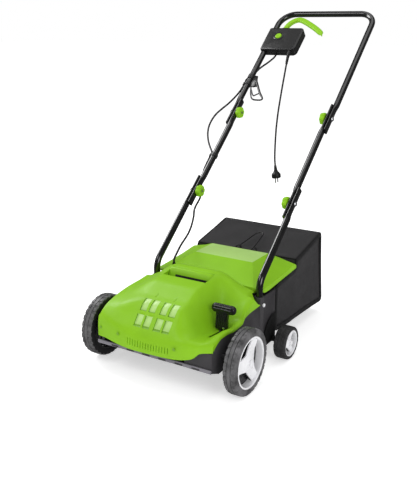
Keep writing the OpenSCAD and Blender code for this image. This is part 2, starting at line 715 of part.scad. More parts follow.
// a carriage bolt from the outside to the knob
module fold_bolt(side, s) on_handle() translate([side * (leg_x + flat_t / 2 + 0.1), s, 0])
  rotate([0, side * 90, 0]) {
    cylinder(r1 = 9, r2 = 6, h = 4);
    translate([0, 0, -44]) cylinder(r = bolt_r, h = 45);
  }
module lower_bolts() color(steel) row() for (side = [-1, 1]) fold_bolt(side, lower_fold_s);
module upper_bolts() color(steel) row() for (side = [-1, 1]) fold_bolt(side, upper_fold_s);

// a lobed hand knob
module knob(side, s) on_handle() translate([side * (knob_face - knob_t / 2), s, 0]) rotate([0, side * 90, 0])
  difference() {
    union() {
      cylinder(r = knob_r - 3.5, h = knob_t, center = true);
      for (k = [0:5]) rotate(k * 60) translate([knob_r - lobe_r, 0, -knob_t / 2])
        cylinder(r = lobe_r, h = knob_t - 4);
    }
    cylinder(r = bolt_r + running, h = 50, center = true);
  }
module knob_lower_left() color(green) row() knob(-1, lower_fold_s);
module knob_lower_right() color(green) row() knob(1, lower_fold_s);
module knob_upper_left() color(green) row() knob(-1, upper_fold_s);
module knob_upper_right() color(green) row() knob(1, upper_fold_s);

// ---------- switch box ----------

module box_outline(inset) {
  r = 16 - inset;
  wide = box_x1 - box_x0 - 2 * inset;
  long = box_s1 - box_s0 - 2 * inset;
  translate([box_x0 + inset, box_s0 + inset]) {
    square([wide - r, long]);
    translate([wide - r, r]) circle(r = r);
    translate([wide - r, long - r]) circle(r = r);
    translate([wide - r - 1, r]) square([r + 1, long - 2 * r]);
  }
}
module box_half(n0, n1, cavity_n0, cavity_n1) difference() {
  translate([0, 0, n0]) linear_extrude(n1 - n0) box_outline(0);
  translate([0, 0, cavity_n0]) linear_extrude(cavity_n1 - cavity_n0) intersection() {
    box_outline(box_wall);
    translate([-178, 900]) square([400, 400]);
  }
  translate([-leg_x, box_s0 - 1, 0]) rotate([-90, 0, 0]) cylinder(r = tube_r + fixed_gap, h = 200);
  translate([lever_pivot[0] - lever_w, lever_pivot[1] - 16, -lever_t / 2 - 1.5])
    cube([2 * lever_w, 48, lever_t + 3]);
  translate([-140, box_s0 + 5, -4]) rotate([90, 0, 0]) cylinder(r = 3.5 + fixed_gap, h = 10);
  translate([-80, box_s0 + 5, 9]) rotate([90, 0, 0]) cylinder(r = 5 + fixed_gap, h = 10);
}
module switch_case_front() color(dark_grey) row() on_handle() difference() {
  box_half(0.05, box_n1, -1, box_n1 - box_wall);
  translate([button_at[0], button_at[1], 0]) cylinder(r = button_r + body_gap, h = 40);
}
module switch_case_back() color(dark_grey) row() on_handle() {
  box_half(box_n0, -0.05, box_n0 + box_wall, 1);
  translate([lever_pivot[0], lever_pivot[1], box_n0 + 1]) cylinder(r = 3, h = 9 - box_n0);
}

module lock_button() color(green) row() on_handle() translate([button_at[0], button_at[1], 0]) {
  translate([0, 0, 2]) cylinder(r = button_r, h = 18.5);
  translate([0, 0, 20.5]) cylinder(r1 = button_r, r2 = button_r - 2.5, h = 2);
}

lever_line = [lever_pivot + [1, -13], lever_pivot, [-152, 1114], [-149, 1138], [-139, 1158], [-122, 1171.5],
  [-104, 1173], [-80, 1162], [-50, 1143], [-20, 1122], [4, 1102], [16, 1084]];
module switch_lever() color(green) row() on_handle() translate([0, 0, -lever_t / 2]) difference() {
  linear_extrude(lever_t) band(lever_line, lever_w);
  translate([lever_pivot[0], lever_pivot[1], -1]) cylinder(r = 3 + running, h = 30);
}

// ---------- clips, hook, cables ----------

cable_r = 3.5;
clip_upper_s = 818;
clip_lower_s = 464;
clip_gap = 0.3;
outer_cable_x = leg_x + tube_r + cable_r + clip_gap;
mid_cable_x = mid_leg_x + tube_r + cable_r + clip_gap;

module clip(x, cx, s) on_handle() translate([0, s - 6, 0]) rotate([-90, 0, 0]) difference() {
  union() {
    translate([-x, 0, 0]) cylinder(r = tube_r + 2.2, h = 12);
    translate([-cx, 0, 0]) cylinder(r = cable_r + 2.2, h = 12);
  }
  translate([-x, 0, -1]) cylinder(r = tube_r + fixed_gap, h = 14);
  translate([-cx, 0, -1]) cylinder(r = cable_r + fixed_gap, h = 14);
}
module cable_clip_upper() color(black) row() clip(leg_x, outer_cable_x, clip_upper_s);
module cable_clip_lower() color(black) row() clip(mid_leg_x, mid_cable_x, clip_lower_s);

// hook that keeps the extension lead off the ground
hook_s = 858;
hook_line = [[-168, 846], [-158, 828], [-138, 796], [-120, 772], [-106, 756], [-108, 745], [-134, 742],
  [-152, 752], [-164, 774], [-176, 806], [-180, 838]];
module cord_hook() color(black) row() on_handle() {
  translate([0, hook_s - 14, 0]) rotate([-90, 0, 0]) difference() {
    translate([-leg_x, 0, 0]) cylinder(r = tube_r + 2.5, h = 20);
    translate([-leg_x, 0, -1]) cylinder(r = tube_r + fixed_gap, h = 30);
  }
  translate([0, 0, -3]) linear_extrude(6) {
    band(hook_line, 5);
    polygon([[-182, 836], [-176, 832], [-164, 832], [-160, 846], [-166, 862], [-182, 863]]);
  }
}

function on_tube(p) = [for (q = p) handle_point(q[0], q[1], q[2])];
upper_route = on_tube([[-140, 994.5, -4], [-140, 980, -4], [-144, 970, -6], [-153, 959, -9], [-167, 947, -14],
  [-181, 934, -17], [-192, 918, -18], [-198, 900, -17.5], [-203, 884, -16], [-209.5, 867, -11.5],
  [-212, 853, -6.5], [-212, 842, -2.5], [-209.6, 831, -0.5], [-208.9, 824.5, 0], [-208.9, 812, 0]]);
loop_route = on_tube([[-208.9, 811.5, 0], [-209.5, 800, 0], [-213, 780, -1], [-222, 750, -2], [-236, 718, -3],
  [-253, 690, -4], [-266, 662, -4], [-271, 632, -4], [-269, 600, -4], [-260, 570, -4], [-246, 542, -4],
  [-230, 518, -3], [-214, 498, -2], [-202, 484, -1], [-197, 476, 0], [-196.6, 470.5, 0]]);
lower_route = concat(
  on_tube([[-196.6, 470, 0], [-196.6, 455, 0], [-197, 430, -1], [-199, 405, -6], [-199, 385, -14],
    [-198, 366, -21], [-192, 345, -27], [-184, 322, -31], [-178, 298, -34]]),
  [[-174, 405, 408], [-166, 385, 383], [-154, 352, 360], [-140, 312, 346], [-126, 268, 338], [-114, 226, 330],
    [-104, 192, 319], [-100, 171, 308], [-100, 165, 298], [-100, 165, 291], [-100, 165, 278],
    [-100, 165, 264]]
);
module cable_upper() color(black) row() cable(spline(upper_route, 2), cable_r);
module cable_loop() color(black) row() cable(spline(loop_route, 2), cable_r);
module cable_lower() color(black) row() cable(spline(lower_route, 2), cable_r);

// mains pigtail: tapered strain relief, a hanging lead and its plug
lead_r = 3.4;
relief_route = [[-80, 945, 930.2], [-80, 938.6, 924.6], [-80, 937.8, 923.9], [-80, 929.5, 915],
  [-80, 922.5, 904], [-80, 917, 892], [-80, 912.5, 879]];
relief_radii = [4.9, 4.9, 6.5, 6, 5.4, 4.9, 4.4];
lead_route = [[-80, 912.4, 878.6], [-80, 905, 858], [-80, 896, 833], [-80, 887, 808], [-80, 878, 782],
  [-80, 869, 755], [-80, 860, 727], [-80, 852, 699], [-80, 846, 672], [-80, 841, 645], [-80, 838, 618],
  [-80, 836, 591], [-80, 835, 564], [-80, 835, 538], [-79, 835, 516], [-77, 835, 500]];
module strain_relief() color(black) row() sweep(relief_route, relief_radii);
module mains_lead() color(black) row() cable(lead_route, lead_r);

plug_tilt = 8;
module plug() color(black) row() translate([-77, 835, 500]) rotate([0, 180 - plug_tilt, 0]) {
  translate([0, 0, 0.1]) cylinder(r1 = 5, r2 = 7, h = 22);
  translate([0, 0, 22]) cylinder(r1 = 9, r2 = 18, h = 12);
  translate([0, 0, 34]) cylinder(r = 18, h = 16);
  for (side = [-1, 1]) translate([0, side * 9.5, 50]) cylinder(r = 2.4, h = 19);
}

base_housing();
hood();
motor_housing();
belt_cover();
drive_belt();
reel_bearings();
rear_axle();
rear_axle_caps();
lower_tube_left();
lower_tube_right();
lower_bolts();
flap_hinge_pin();
flap_spring();
side_screws();
hood_screws();
cable_gland();
front_axle();
height_lever();
height_lever_grip();
front_axle_caps();
front_tyre_left();
front_rim_left();
front_tyre_right();
front_rim_right();
rear_tyre_left();
rear_rim_left();
rear_tyre_right();
rear_rim_right();
reel_shaft();
reel_tines();
reel_pulley();
motor_rotor();
motor_fan();
motor_pulley();
rear_flap();
bag_shell();
bag_frame();
bag_bail();
middle_tube_left();
middle_tube_right();
cable_clip_lower();
cable_lower();
upper_tube();
upper_bolts();
switch_case_front();
switch_case_back();
switch_lever();
lock_button();
cable_clip_upper();
cord_hook();
cable_upper();
cable_loop();
strain_relief();
mains_lead();
plug();
knob_lower_left();
knob_lower_right();
knob_upper_left();
knob_upper_right();
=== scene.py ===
"""Lawn dethatcher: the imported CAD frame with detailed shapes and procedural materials.

Shapes are worked out in machine millimetres (+X right, +Y rearwards, +Z up, front wheel centres on Y = 0) and
in the handle's own frame (x, s along the tubes, n out of its face), then moved to the row's frame in metres.
"""
import math

import bmesh
import bpy
import numpy as np
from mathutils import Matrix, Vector


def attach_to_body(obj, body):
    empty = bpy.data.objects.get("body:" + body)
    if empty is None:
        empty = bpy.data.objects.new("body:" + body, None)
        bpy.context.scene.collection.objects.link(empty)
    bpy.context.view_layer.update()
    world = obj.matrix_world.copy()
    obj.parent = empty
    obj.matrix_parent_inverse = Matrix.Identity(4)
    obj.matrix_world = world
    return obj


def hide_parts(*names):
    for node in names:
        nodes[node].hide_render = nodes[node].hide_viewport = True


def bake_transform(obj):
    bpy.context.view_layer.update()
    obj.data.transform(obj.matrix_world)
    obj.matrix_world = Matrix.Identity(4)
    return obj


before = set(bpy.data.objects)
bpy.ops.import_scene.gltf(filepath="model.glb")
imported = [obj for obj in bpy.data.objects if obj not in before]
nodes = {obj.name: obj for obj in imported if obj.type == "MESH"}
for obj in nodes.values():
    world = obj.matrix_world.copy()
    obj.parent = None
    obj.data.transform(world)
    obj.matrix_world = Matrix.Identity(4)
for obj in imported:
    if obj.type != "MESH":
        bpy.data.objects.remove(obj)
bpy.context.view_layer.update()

# ---------------------------------------------------------------- frames and small maths

SLOPE = math.radians(41.2)
COS, SIN = math.cos(SLOPE), math.sin(SLOPE)
BEND_Y, BEND_Z = 200.0, 266.0
CROSSBAR_S = 1207.0
NOSE_Y = 128.0
TUBE = 11.0
MID_Y = (BEND_Y + CROSSBAR_S * COS + TUBE - NOSE_Y) / 2


def rows_of(points):
    """Points as rows of three numbers."""
    return np.asarray(points, float).reshape(-1, 3)


def to_row(points):
    """Machine millimetres to the row's metres."""
    p = rows_of(points).copy()
    p[:, 1] -= MID_Y
    return p / 1000


def on_handle(points):
    """Handle frame (x, s, n) to machine millimetres."""
    x, s, n = rows_of(points).T
    return np.stack([x, BEND_Y + s * COS - n * SIN, BEND_Z + s * SIN + n * COS], 1)


def mix(a, b, t):
    return a + (b - a) * t


def smooth(a, b, x):
    t = np.clip((np.asarray(x, float) - a) / (b - a), 0, 1)
    return t * t * (3 - 2 * t)


def unit(v):
    """Rows at length 1."""
    return v / np.linalg.norm(v, axis=1)[:, None]


def circle(count):
    """Angles evenly round a circle."""
    return np.arange(count) * 2 * math.pi / count


def arc(cx, cy, r, a0, a1, steps):
    """Points on an arc from a0 to a1 degrees."""
    angles = [math.radians(mix(a0, a1, k / steps)) for k in range(steps + 1)]
    return [(cx + r * math.cos(a), cy + r * math.sin(a)) for a in angles]


def curve_through(table):
    """A smooth function through a table's points that doesn't overshoot between them."""
    xs, ys = (np.array(c, float) for c in zip(*table))
    h, d = np.diff(xs), np.diff(ys) / np.diff(xs)
    m = np.zeros(len(xs))
    m[0], m[-1] = d[0], d[-1]
    for k in range(1, len(xs) - 1):
        if d[k - 1] * d[k] > 0:
            w1, w2 = 2 * h[k] + h[k - 1], h[k] + 2 * h[k - 1]
            m[k] = (w1 + w2) / (w1 / d[k - 1] + w2 / d[k])

    def height(x):
        x = np.clip(np.asarray(x, float), xs[0], xs[-1])
        k = np.clip(np.searchsorted(xs, x) - 1, 0, len(h) - 1)
        t = (x - xs[k]) / h[k]
        return (
            (2 * t**3 - 3 * t**2 + 1) * ys[k] + (t**3 - 2 * t**2 + t) * h[k] * m[k]
            + (3 * t**2 - 2 * t**3) * ys[k + 1] + (t**3 - t**2) * h[k] * m[k + 1]
        )

    return height


def on_line(table, v):
    """The value at v on the straight lines between a table's points."""
    xs, ys = zip(*table)
    return float(np.interp(v, xs, ys))


def spline(points, steps):
    """Points on a smooth run through a route."""
    p = np.asarray(points, float)
    out = []
    for i in range(len(p) - 1):
        a, b, c, d = p[max(i - 1, 0)], p[i], p[i + 1], p[min(i + 2, len(p) - 1)]
        for k in range(steps):
            t = k / steps
            square, cube = 2 * a - 5 * b + 4 * c - d, 3 * b - a - 3 * c + d
            out.append(0.5 * (2 * b + (c - a) * t + square * t * t + cube * t**3))
    out.append(p[-1])
    return np.array(out)


def wave(p, seed, scale):
    """Smooth seeded noise from a few sines, about -1 to 1."""
    rng = np.random.RandomState(seed)
    sines = 6
    total = np.zeros(len(p))
    for _ in range(sines):
        direction = rng.normal(size=3)
        direction /= np.linalg.norm(direction)
        total += np.sin(p @ direction * rng.uniform(0.6, 1.6) / scale + rng.uniform(0, 6.28))
    return total / sines


# ---------------------------------------------------------------- materials


def new_material(name):
    m = bpy.data.materials.new(name)
    m.use_nodes = True
    tree = m.node_tree
    return m, tree, tree.nodes["Principled BSDF"]


def link(tree, a, b):
    tree.links.new(a, b)


def coordinates(tree, scale=(1, 1, 1)):
    source = tree.nodes.new("ShaderNodeTexCoord")
    mapping = tree.nodes.new("ShaderNodeMapping")
    mapping.inputs["Scale"].default_value = scale
    link(tree, source.outputs["Object"], mapping.inputs["Vector"])
    return mapping.outputs["Vector"]


def noise_node(tree, vector, scale, detail=3, rough=0.55):
    n = tree.nodes.new("ShaderNodeTexNoise")
    n.inputs["Scale"].default_value = scale
    n.inputs["Detail"].default_value = detail
    n.inputs["Roughness"].default_value = rough
    link(tree, vector, n.inputs["Vector"])
    return n.outputs["Fac"]


def ramp(tree, fac, colours, places=(0.3, 0.7)):
    """A value as a colour between two colours, reached at two places on the value."""
    r = tree.nodes.new("ShaderNodeValToRGB")
    for element, colour, place in zip(r.color_ramp.elements, colours, places):
        element.position = place
        element.color = (*colour, 1)
    link(tree, fac, r.inputs["Fac"])
    return r.outputs["Color"]


def bump(tree, shader, height, strength, distance, below=None):
    b = tree.nodes.new("ShaderNodeBump")
    b.inputs["Strength"].default_value = strength
    b.inputs["Distance"].default_value = distance
    link(tree, height, b.inputs["Height"])
    if below is not None:
        link(tree, below, b.inputs["Normal"])
    link(tree, b.outputs["Normal"], shader.inputs["Normal"])
    return b.outputs["Normal"]


def math_node(tree, operation, first, second=None):
    """A maths node on a socket, with a second socket or number where the operation takes one."""
    n = tree.nodes.new("ShaderNodeMath")
    n.operation = operation
    link(tree, first, n.inputs[0])
    if isinstance(second, (int, float)):
        n.inputs[1].default_value = second
    elif second is not None:
        link(tree, second, n.inputs[1])
    return n.outputs["Value"]


def remap(tree, value, low, high, start=0.0, end=1.0, curve="LINEAR"):
    """A value that runs from start to end, mapped to low and high."""
    n = tree.nodes.new("ShaderNodeMapRange")
    n.interpolation_type = curve
    for socket, number in (("From Min", start), ("From Max", end), ("To Min", low), ("To Max", high)):
        n.inputs[socket].default_value = number
    link(tree, value, n.inputs["Value"])
    return n.outputs["Result"]


def shades(colour, low, high):
    """A darker and a lighter shade of a colour."""
    c = np.array(colour)
    return tuple(c * low), tuple(np.minimum(c * high, 1))


def greys(value, low, high):
    return shades((value,) * 3, low, high)


def plastic(name, colour, rough, grain=1300, grain_depth=0.00006, vary=0.06, coat=0, wear=0, specular=0.5):
    """Moulded plastic: a fine grain, a faint mottle in its colour and gloss, and lighter worn edges."""
    m, tree, shader = new_material(name)
    v = coordinates(tree)
    tint = ramp(tree, noise_node(tree, v, 14, 4), shades(colour, 1 - vary, 1 + vary))
    if wear:
        geometry = tree.nodes.new("ShaderNodeNewGeometry")
        edge = ramp(tree, geometry.outputs["Pointiness"], ((0, 0, 0), (1, 1, 1)), (0.52, 0.6))
        worn = tree.nodes.new("ShaderNodeMix")
        worn.data_type = "RGBA"
        link(tree, math_node(tree, "MULTIPLY", edge, wear), worn.inputs["Factor"])
        link(tree, tint, worn.inputs[6])
        worn.inputs[7].default_value = (*np.minimum(np.array(colour) * 1.8 + 0.05, 1), 1)
        tint = worn.outputs[2]
    link(tree, tint, shader.inputs["Base Color"])
    smudge = noise_node(tree, v, 38, 5, 0.6)
    link(tree, ramp(tree, smudge, greys(rough, 0.85, 1.2)), shader.inputs["Roughness"])
    shader.inputs["Specular IOR Level"].default_value = specular
    if coat:
        shader.inputs["Coat Weight"].default_value = coat
        shader.inputs["Coat Roughness"].default_value = 0.12
    bump(tree, shader, noise_node(tree, v, grain, 2), 0.6, grain_depth)
    return m


def green_plastic(name, colour, rough, **finish):
    return plastic(name, colour, rough, grain=1100, grain_depth=0.00003, **finish)


def metal(name, colour, rough, brushed=(1, 1, 1)):
    """Plated or ground steel with fine directional scratches and dull patches."""
    m, tree, shader = new_material(name)
    shader.inputs["Metallic"].default_value = 1
    lines = noise_node(tree, coordinates(tree, brushed), 500, 4, 0.7)
    link(tree, ramp(tree, lines, shades(colour, 0.85, 1.08)), shader.inputs["Base Color"])
    patches = noise_node(tree, coordinates(tree), 60, 4)
    link(tree, ramp(tree, patches, greys(rough, 0.75, 1.3)), shader.inputs["Roughness"])
    bump(tree, shader, lines, 0.4, 0.00003)
    return m


def powder_coat(name):
    """Gloss black powder coat with a faint orange peel."""
    m, tree, shader = new_material(name)
    v = coordinates(tree)
    mottle = noise_node(tree, v, 30, 4)
    blacks = ((0.0022, 0.0022, 0.0024), (0.0045, 0.0045, 0.005))
    link(tree, ramp(tree, mottle, blacks), shader.inputs["Base Color"])
    link(tree, ramp(tree, mottle, ((0.13,) * 3, (0.19,) * 3)), shader.inputs["Roughness"])
    shader.inputs["Specular IOR Level"].default_value = 0.9
    bump(tree, shader, noise_node(tree, v, 420, 2), 0.5, 0.00003)
    return m


def rubber(name, colour, rough, dust_and_highlight=0.0):
    """Rubber, with pale patches in broad blotches where it rolls: partly dusty rubber, partly a painted
    highlight.
    """
    m, tree, shader = new_material(name)
    v = coordinates(tree)
    patch = noise_node(tree, v, 26, 6, 0.65)
    # the ramp's pale end is partly dusty rubber and partly a painted highlight
    link(tree, ramp(tree, patch, shades(colour, 0.8, 1.15 + dust_and_highlight), (0.35, 0.7)), shader.inputs["Base Color"])
    link(tree, ramp(tree, patch, greys(rough, 0.85, 1.15)), shader.inputs["Roughness"])
    shader.inputs["Specular IOR Level"].default_value = 0.45
    bump(tree, shader, noise_node(tree, v, 700, 3), 0.5, 0.00012)
    return m


def woven(name, colour, rough=0.72, pitch=0.0011):
    """Coated bag cloth: a plain weave in two thread directions, with soft creases and scuffed patches."""
    m, tree, shader = new_material(name)
    v = coordinates(tree)
    bands = []
    for direction in ((1, 0.12, 0.12), (0.0, 1, 1)):
        along = tree.nodes.new("ShaderNodeVectorMath")
        along.operation = "DOT_PRODUCT"
        along.inputs[1].default_value = direction
        link(tree, v, along.inputs[0])
        phase = math_node(tree, "MULTIPLY", along.outputs["Value"], 2 * math.pi / pitch)
        bands.append(math_node(tree, "SINE", phase))
    weave = math_node(tree, "MULTIPLY", *bands)
    scuff = noise_node(tree, v, 16, 6, 0.6)
    link(tree, ramp(tree, scuff, shades(colour, 0.85, 1.2)), shader.inputs["Base Color"])
    link(tree, ramp(tree, scuff, greys(rough, 0.9, 1.15)), shader.inputs["Roughness"])
    shader.inputs["Specular IOR Level"].default_value = 0.18
    shader.inputs["Sheen Weight"].default_value = 0.05
    shader.inputs["Sheen Roughness"].default_value = 0.5
    soft = bump(tree, shader, noise_node(tree, v, 22, 4), 0.35, 0.002)
    bump(tree, shader, weave, 0.55, 0.00018, soft)
    return m


BLACK = (0.006, 0.006, 0.0065)
mat_green = green_plastic("green_plastic", (0.232, 0.500, 0.012), 0.4, vary=0.035, coat=0.02, specular=0.17)
# a paler copy of the green: painted highlight on the hood's windows and on the flap's plateau
mat_green_painted_highlight = green_plastic("green_plastic_painted_highlight", (0.40, 0.64, 0.17), 0.36, vary=0.03)
# a darker copy of the green: painted shade on the windows' left and lower edges, in the slits, under the
# lever's slot and on the hood's screws
mat_green_painted_shade = green_plastic("green_plastic_painted_shade", (0.17, 0.38, 0.012), 0.5, vary=0.05)
mat_dark = plastic("dark_grey_plastic", (0.030, 0.028, 0.031), 0.5, grain_depth=0.00012, wear=0.35,
                   specular=0.25)
mat_case = plastic("switch_case_plastic", (0.018, 0.0178, 0.0182), 0.5, grain=1500, grain_depth=0.00012,
                   wear=0.2, specular=0.17)
# black plastic, which the rims also use as painted shade in their openings
mat_black_and_painted_shade = plastic("black_plastic", BLACK, 0.26, wear=0.15)
# light grey: a painted highlight along the base's front lip
mat_lip_painted_highlight = plastic("front_lip_painted_highlight", (0.20, 0.19, 0.215), 0.35)
mat_tube = powder_coat("black_powder_coat")
mat_steel = metal("zinc_steel", (0.62, 0.63, 0.65), 0.3)
mat_dull_steel = metal("dull_steel", (0.30, 0.30, 0.31), 0.45, (1, 8, 8))
mat_tyre = rubber("tyre_rubber", (0.060, 0.059, 0.061), 0.42, dust_and_highlight=1.6)
# the rear tyres' rubber is a darker copy of the tyre rubber: painted shade under the bag
mat_tyre_rear_painted_shade = rubber("rear_tyre_painted_shade", (0.022, 0.0215, 0.0225), 0.5, dust_and_highlight=0.8)
# near-black rubber for the tyres' inner sides: painted shade
mat_tyre_inner_painted_shade = rubber("tyre_inner_painted_shade", (0.010, 0.010, 0.0105), 0.6)
mat_cable = rubber("cable_rubber", BLACK, 0.42)
mat_rim = plastic("rim_plastic", (0.80, 0.80, 0.82), 0.3, grain=1200, grain_depth=0.00004, vary=0.05,
                  coat=0.2)
mat_bag = woven("bag_cloth", (0.026, 0.025, 0.0265))
mat_binding = woven("bag_binding", BLACK, 0.6, 0.0008)
mat_thread = rubber("thread", (0.05, 0.05, 0.052), 0.7)
# near-black: painted shadow in the carry grip's trough and on the plates round the rear axle, and the switch
# case's real dark seam
mat_painted_shadow_and_seam = plastic("shadow_gap", (0.004,) * 3, 0.8, grain=900)

# ---------------------------------------------------------------- making pieces


def add_to_scene(name, data):
    obj = bpy.data.objects.new(name, data)
    bpy.context.scene.collection.objects.link(obj)
    return obj


def make(name, shape, material, body, replaced=(), angle=35, face_slots=None, bevel=None,
         solid=None, attach=True):
    """A mesh piece from (points, faces) in machine millimetres, riding on a body.

    It stands for the CAD nodes that it replaces. bevel is (millimetres, segments, angle), solid a thickness.
    """
    points, faces = shape
    mesh = bpy.data.meshes.new(name)
    mesh.from_pydata([tuple(p) for p in to_row(points)], [], [tuple(int(i) for i in f) for f in faces])
    for m in material if isinstance(material, list) else [material]:
        mesh.materials.append(m)
    if face_slots is not None:
        mesh.polygons.foreach_set("material_index", np.asarray(face_slots, np.int32))
    b = bmesh.new()
    b.from_mesh(mesh)
    bmesh.ops.remove_doubles(b, verts=b.verts, dist=1e-6)
    bmesh.ops.dissolve_degenerate(b, dist=1e-7, edges=b.edges)
    bmesh.ops.recalc_face_normals(b, faces=b.faces)
    b.to_mesh(mesh)
    b.free()
    obj = add_to_scene(name, mesh)
    if solid:
        s = obj.modifiers.new("thickness", "SOLIDIFY")
        s.thickness, s.offset = solid / 1000, -1
        s.use_even_offset = False
    if bevel:
        v = obj.modifiers.new("bevel", "BEVEL")
        v.width, v.segments, v.limit_method = bevel[0] / 1000, bevel[1], "ANGLE"
        v.angle_limit = math.radians(bevel[2])
        v.harden_normals = False
    if obj.modifiers:
        settle(obj)
    obj.data.shade_smooth()
    obj.data.set_sharp_from_angle(angle=math.radians(angle))
    if attach:
        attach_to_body(obj, body)
    if replaced:
        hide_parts(*replaced)
    return obj


def settle(obj):
    """Applies an object's modifiers to its mesh."""
    graph = bpy.context.evaluated_depsgraph_get()
    done = bpy.data.meshes.new_from_object(obj.evaluated_get(graph))
    obj.modifiers.clear()
    obj.data = done


def grid_faces(m, n, wrap=False, keep=None):
    """Quads of an m by n grid; wrap closes it in the second direction."""
    out = []
    for i in range(m - 1):
        for j in range(n if wrap else n - 1):
            if keep is None or keep(i, j):
                k = (j + 1) % n
                out.append((i * n + j, (i + 1) * n + j, (i + 1) * n + k, i * n + k))
    return out


def end_caps(m, n):
    """The two end faces of m rings of n points."""
    return [tuple(range(n))[::-1], tuple((m - 1) * n + k for k in range(n))]


def swept(path, wide, thick, side, count=24, power=2.0, caps=True):
    """A tube along a path, wide along side and thick across it. power 2 is an ellipse, more is squarer."""
    path, n = np.asarray(path, float), len(path)
    wide, thick = np.broadcast_to(wide, n), np.broadcast_to(thick, n)
    tangent = unit(np.gradient(path, axis=0))
    side = np.broadcast_to(np.asarray(side, float), path.shape)
    u = unit(side - (side * tangent).sum(1)[:, None] * tangent)
    v = np.cross(tangent, u)
    ca, sa = np.cos(circle(count)), np.sin(circle(count))
    ca, sa = (np.sign(c) * np.abs(c) ** (2 / power) for c in (ca, sa))
    along_u, along_v = (wide[:, None] * ca)[..., None], (thick[:, None] * sa)[..., None]
    points = path[:, None] + u[:, None] * along_u + v[:, None] * along_v
    return points.reshape(-1, 3), grid_faces(n, count, wrap=True) + (end_caps(n, count) if caps else [])


def carried(path, start_side):
    """A side vector carried along a path without twisting."""
    s, out = np.asarray(start_side, float), []
    for t in unit(np.gradient(np.asarray(path, float), axis=0)):
        s = s - (s @ t) * t
        s = s / np.linalg.norm(s)
        out.append(s)
    return np.array(out)


def lathe(profile, count, place, shape=None):
    """A lathe about a w axis.

    The profile is (radius, w), place maps (u, v, w) columns to machine millimetres, and
    shape(angle, radius, w) may change the radius.
    """
    a = circle(count)
    rings = []
    for r, w in profile:
        radius = r if shape is None else shape(a, r, w)
        rings.append(np.stack([radius * np.cos(a), radius * np.sin(a), np.full(count, float(w))], 1))
    return place(*np.concatenate(rings).T), grid_faces(len(rings), count, wrap=True)


def turned(profile, centre, side, count=96, shape=None):
    """A closed lathe about an X axis at (y, z). The profile is (radius, x outwards)."""

    def place(u, v, w):
        return np.stack([side * w, centre[0] + u, centre[1] + v], 1)

    points, faces = lathe(profile, count, place, shape)
    last = (len(profile) - 1) * count
    faces += [(last + j, j, (j + 1) % count, last + (j + 1) % count) for j in range(count)]
    return points, faces


def turned_on_handle(profile, x, s, count=64):
    """A lathe about the handle's normal at (x, s). The profile is (radius, n)."""
    return lathe(profile, count, lambda u, v, w: on_handle(np.stack([u + x, v + s, w], 1)))


def joined(*parts):
    """Several (points, faces) as one."""
    points, faces, start = [], [], 0
    for p, f in parts:
        p = rows_of(p)
        points.append(p)
        faces += [tuple(i + start for i in face) for face in f]
        start += len(p)
    return np.concatenate(points), faces


def two_levels(flat, low, high):
    """2D points at two heights."""
    return np.concatenate([np.column_stack([flat, np.full(len(flat), w)]) for w in (low, high)])


def slab(outline, low, high, place):
    """A prism over a 2D outline from low to high; place maps (u, v, w) rows to machine millimetres."""
    n = len(outline)
    faces = [tuple(range(n))[::-1], tuple(range(n, 2 * n))]
    faces += [(k, (k + 1) % n, n + (k + 1) % n, n + k) for k in range(n)]
    return place(two_levels(np.asarray(outline, float), low, high)), faces


def holed_slab(outline, hole, low, high, place):
    """A slab with a round hole (u, v, radius); its end faces are cut in two through the hole's middle."""
    cu, cv, radius = hole
    ring = []
    for (u0, v0), (u1, v1) in zip(outline, outline[1:] + outline[:1]):
        ring.append((u0, v0))
        if (v0 - cv) * (v1 - cv) < 0:
            ring.append((mix(u0, u1, (cv - v0) / (v1 - v0)), cv))
    left, right = [k for k, (u, v) in enumerate(ring) if v == cv]
    n, m = len(ring), 40
    total = n + m
    flat = np.array(ring + arc(cu, cv, radius, 0, 360, m)[:-1])
    halves = [
        list(range(left, right + 1)) + [n + -k % m for k in range(m // 2 + 1)],
        list(range(right, n)) + list(range(left + 1)) + [n + m // 2 - k for k in range(m // 2 + 1)],
    ]
    faces = [tuple(half[::-1]) for half in halves] + [tuple(total + k for k in half) for half in halves]
    faces += [(k, (k + 1) % n, total + (k + 1) % n, total + k) for k in range(n)]
    faces += [(n + (k + 1) % m, n + k, total + n + k, total + n + (k + 1) % m) for k in range(m)]
    return place(two_levels(flat, low, high)), faces


# ---------------------------------------------------------------- camera first, then the free cord

camera_data = bpy.data.cameras.new("camera")
camera_data.lens, camera_data.sensor_width = 51.17, 36
camera = add_to_scene("camera", camera_data)
azimuth, elevation = math.radians(31.68), math.radians(17.75)
camera.location = (1.140, -1.632 - MID_Y / 1000, 1.030)
level_part = math.cos(elevation)
aim = Vector((-math.sin(azimuth) * level_part, math.cos(azimuth) * level_part, -math.sin(elevation)))
camera.rotation_euler = aim.to_track_quat("-Z", "Y").to_euler()
bpy.context.scene.camera = camera

lead_route = [[-80, 912.4, 878.6], [-80, 905, 858], [-80, 896, 833], [-80, 887, 808], [-80, 878, 782],
              [-80, 869, 755], [-80, 860, 727], [-80, 852, 699], [-80, 846, 672], [-80, 841, 645],
              [-80, 838, 618], [-80, 836, 591], [-80, 835, 564], [-80, 835, 538], [-79, 835, 516],
              [-77, 835, 500]]
LEAD_R = 3.4
lead_path = spline(lead_route, 4)
lead = make("mains_lead_cord", swept(lead_path, LEAD_R, LEAD_R, (1, 0, 0), 16), mat_cable, "upper_handle",
            ["mains_lead"])

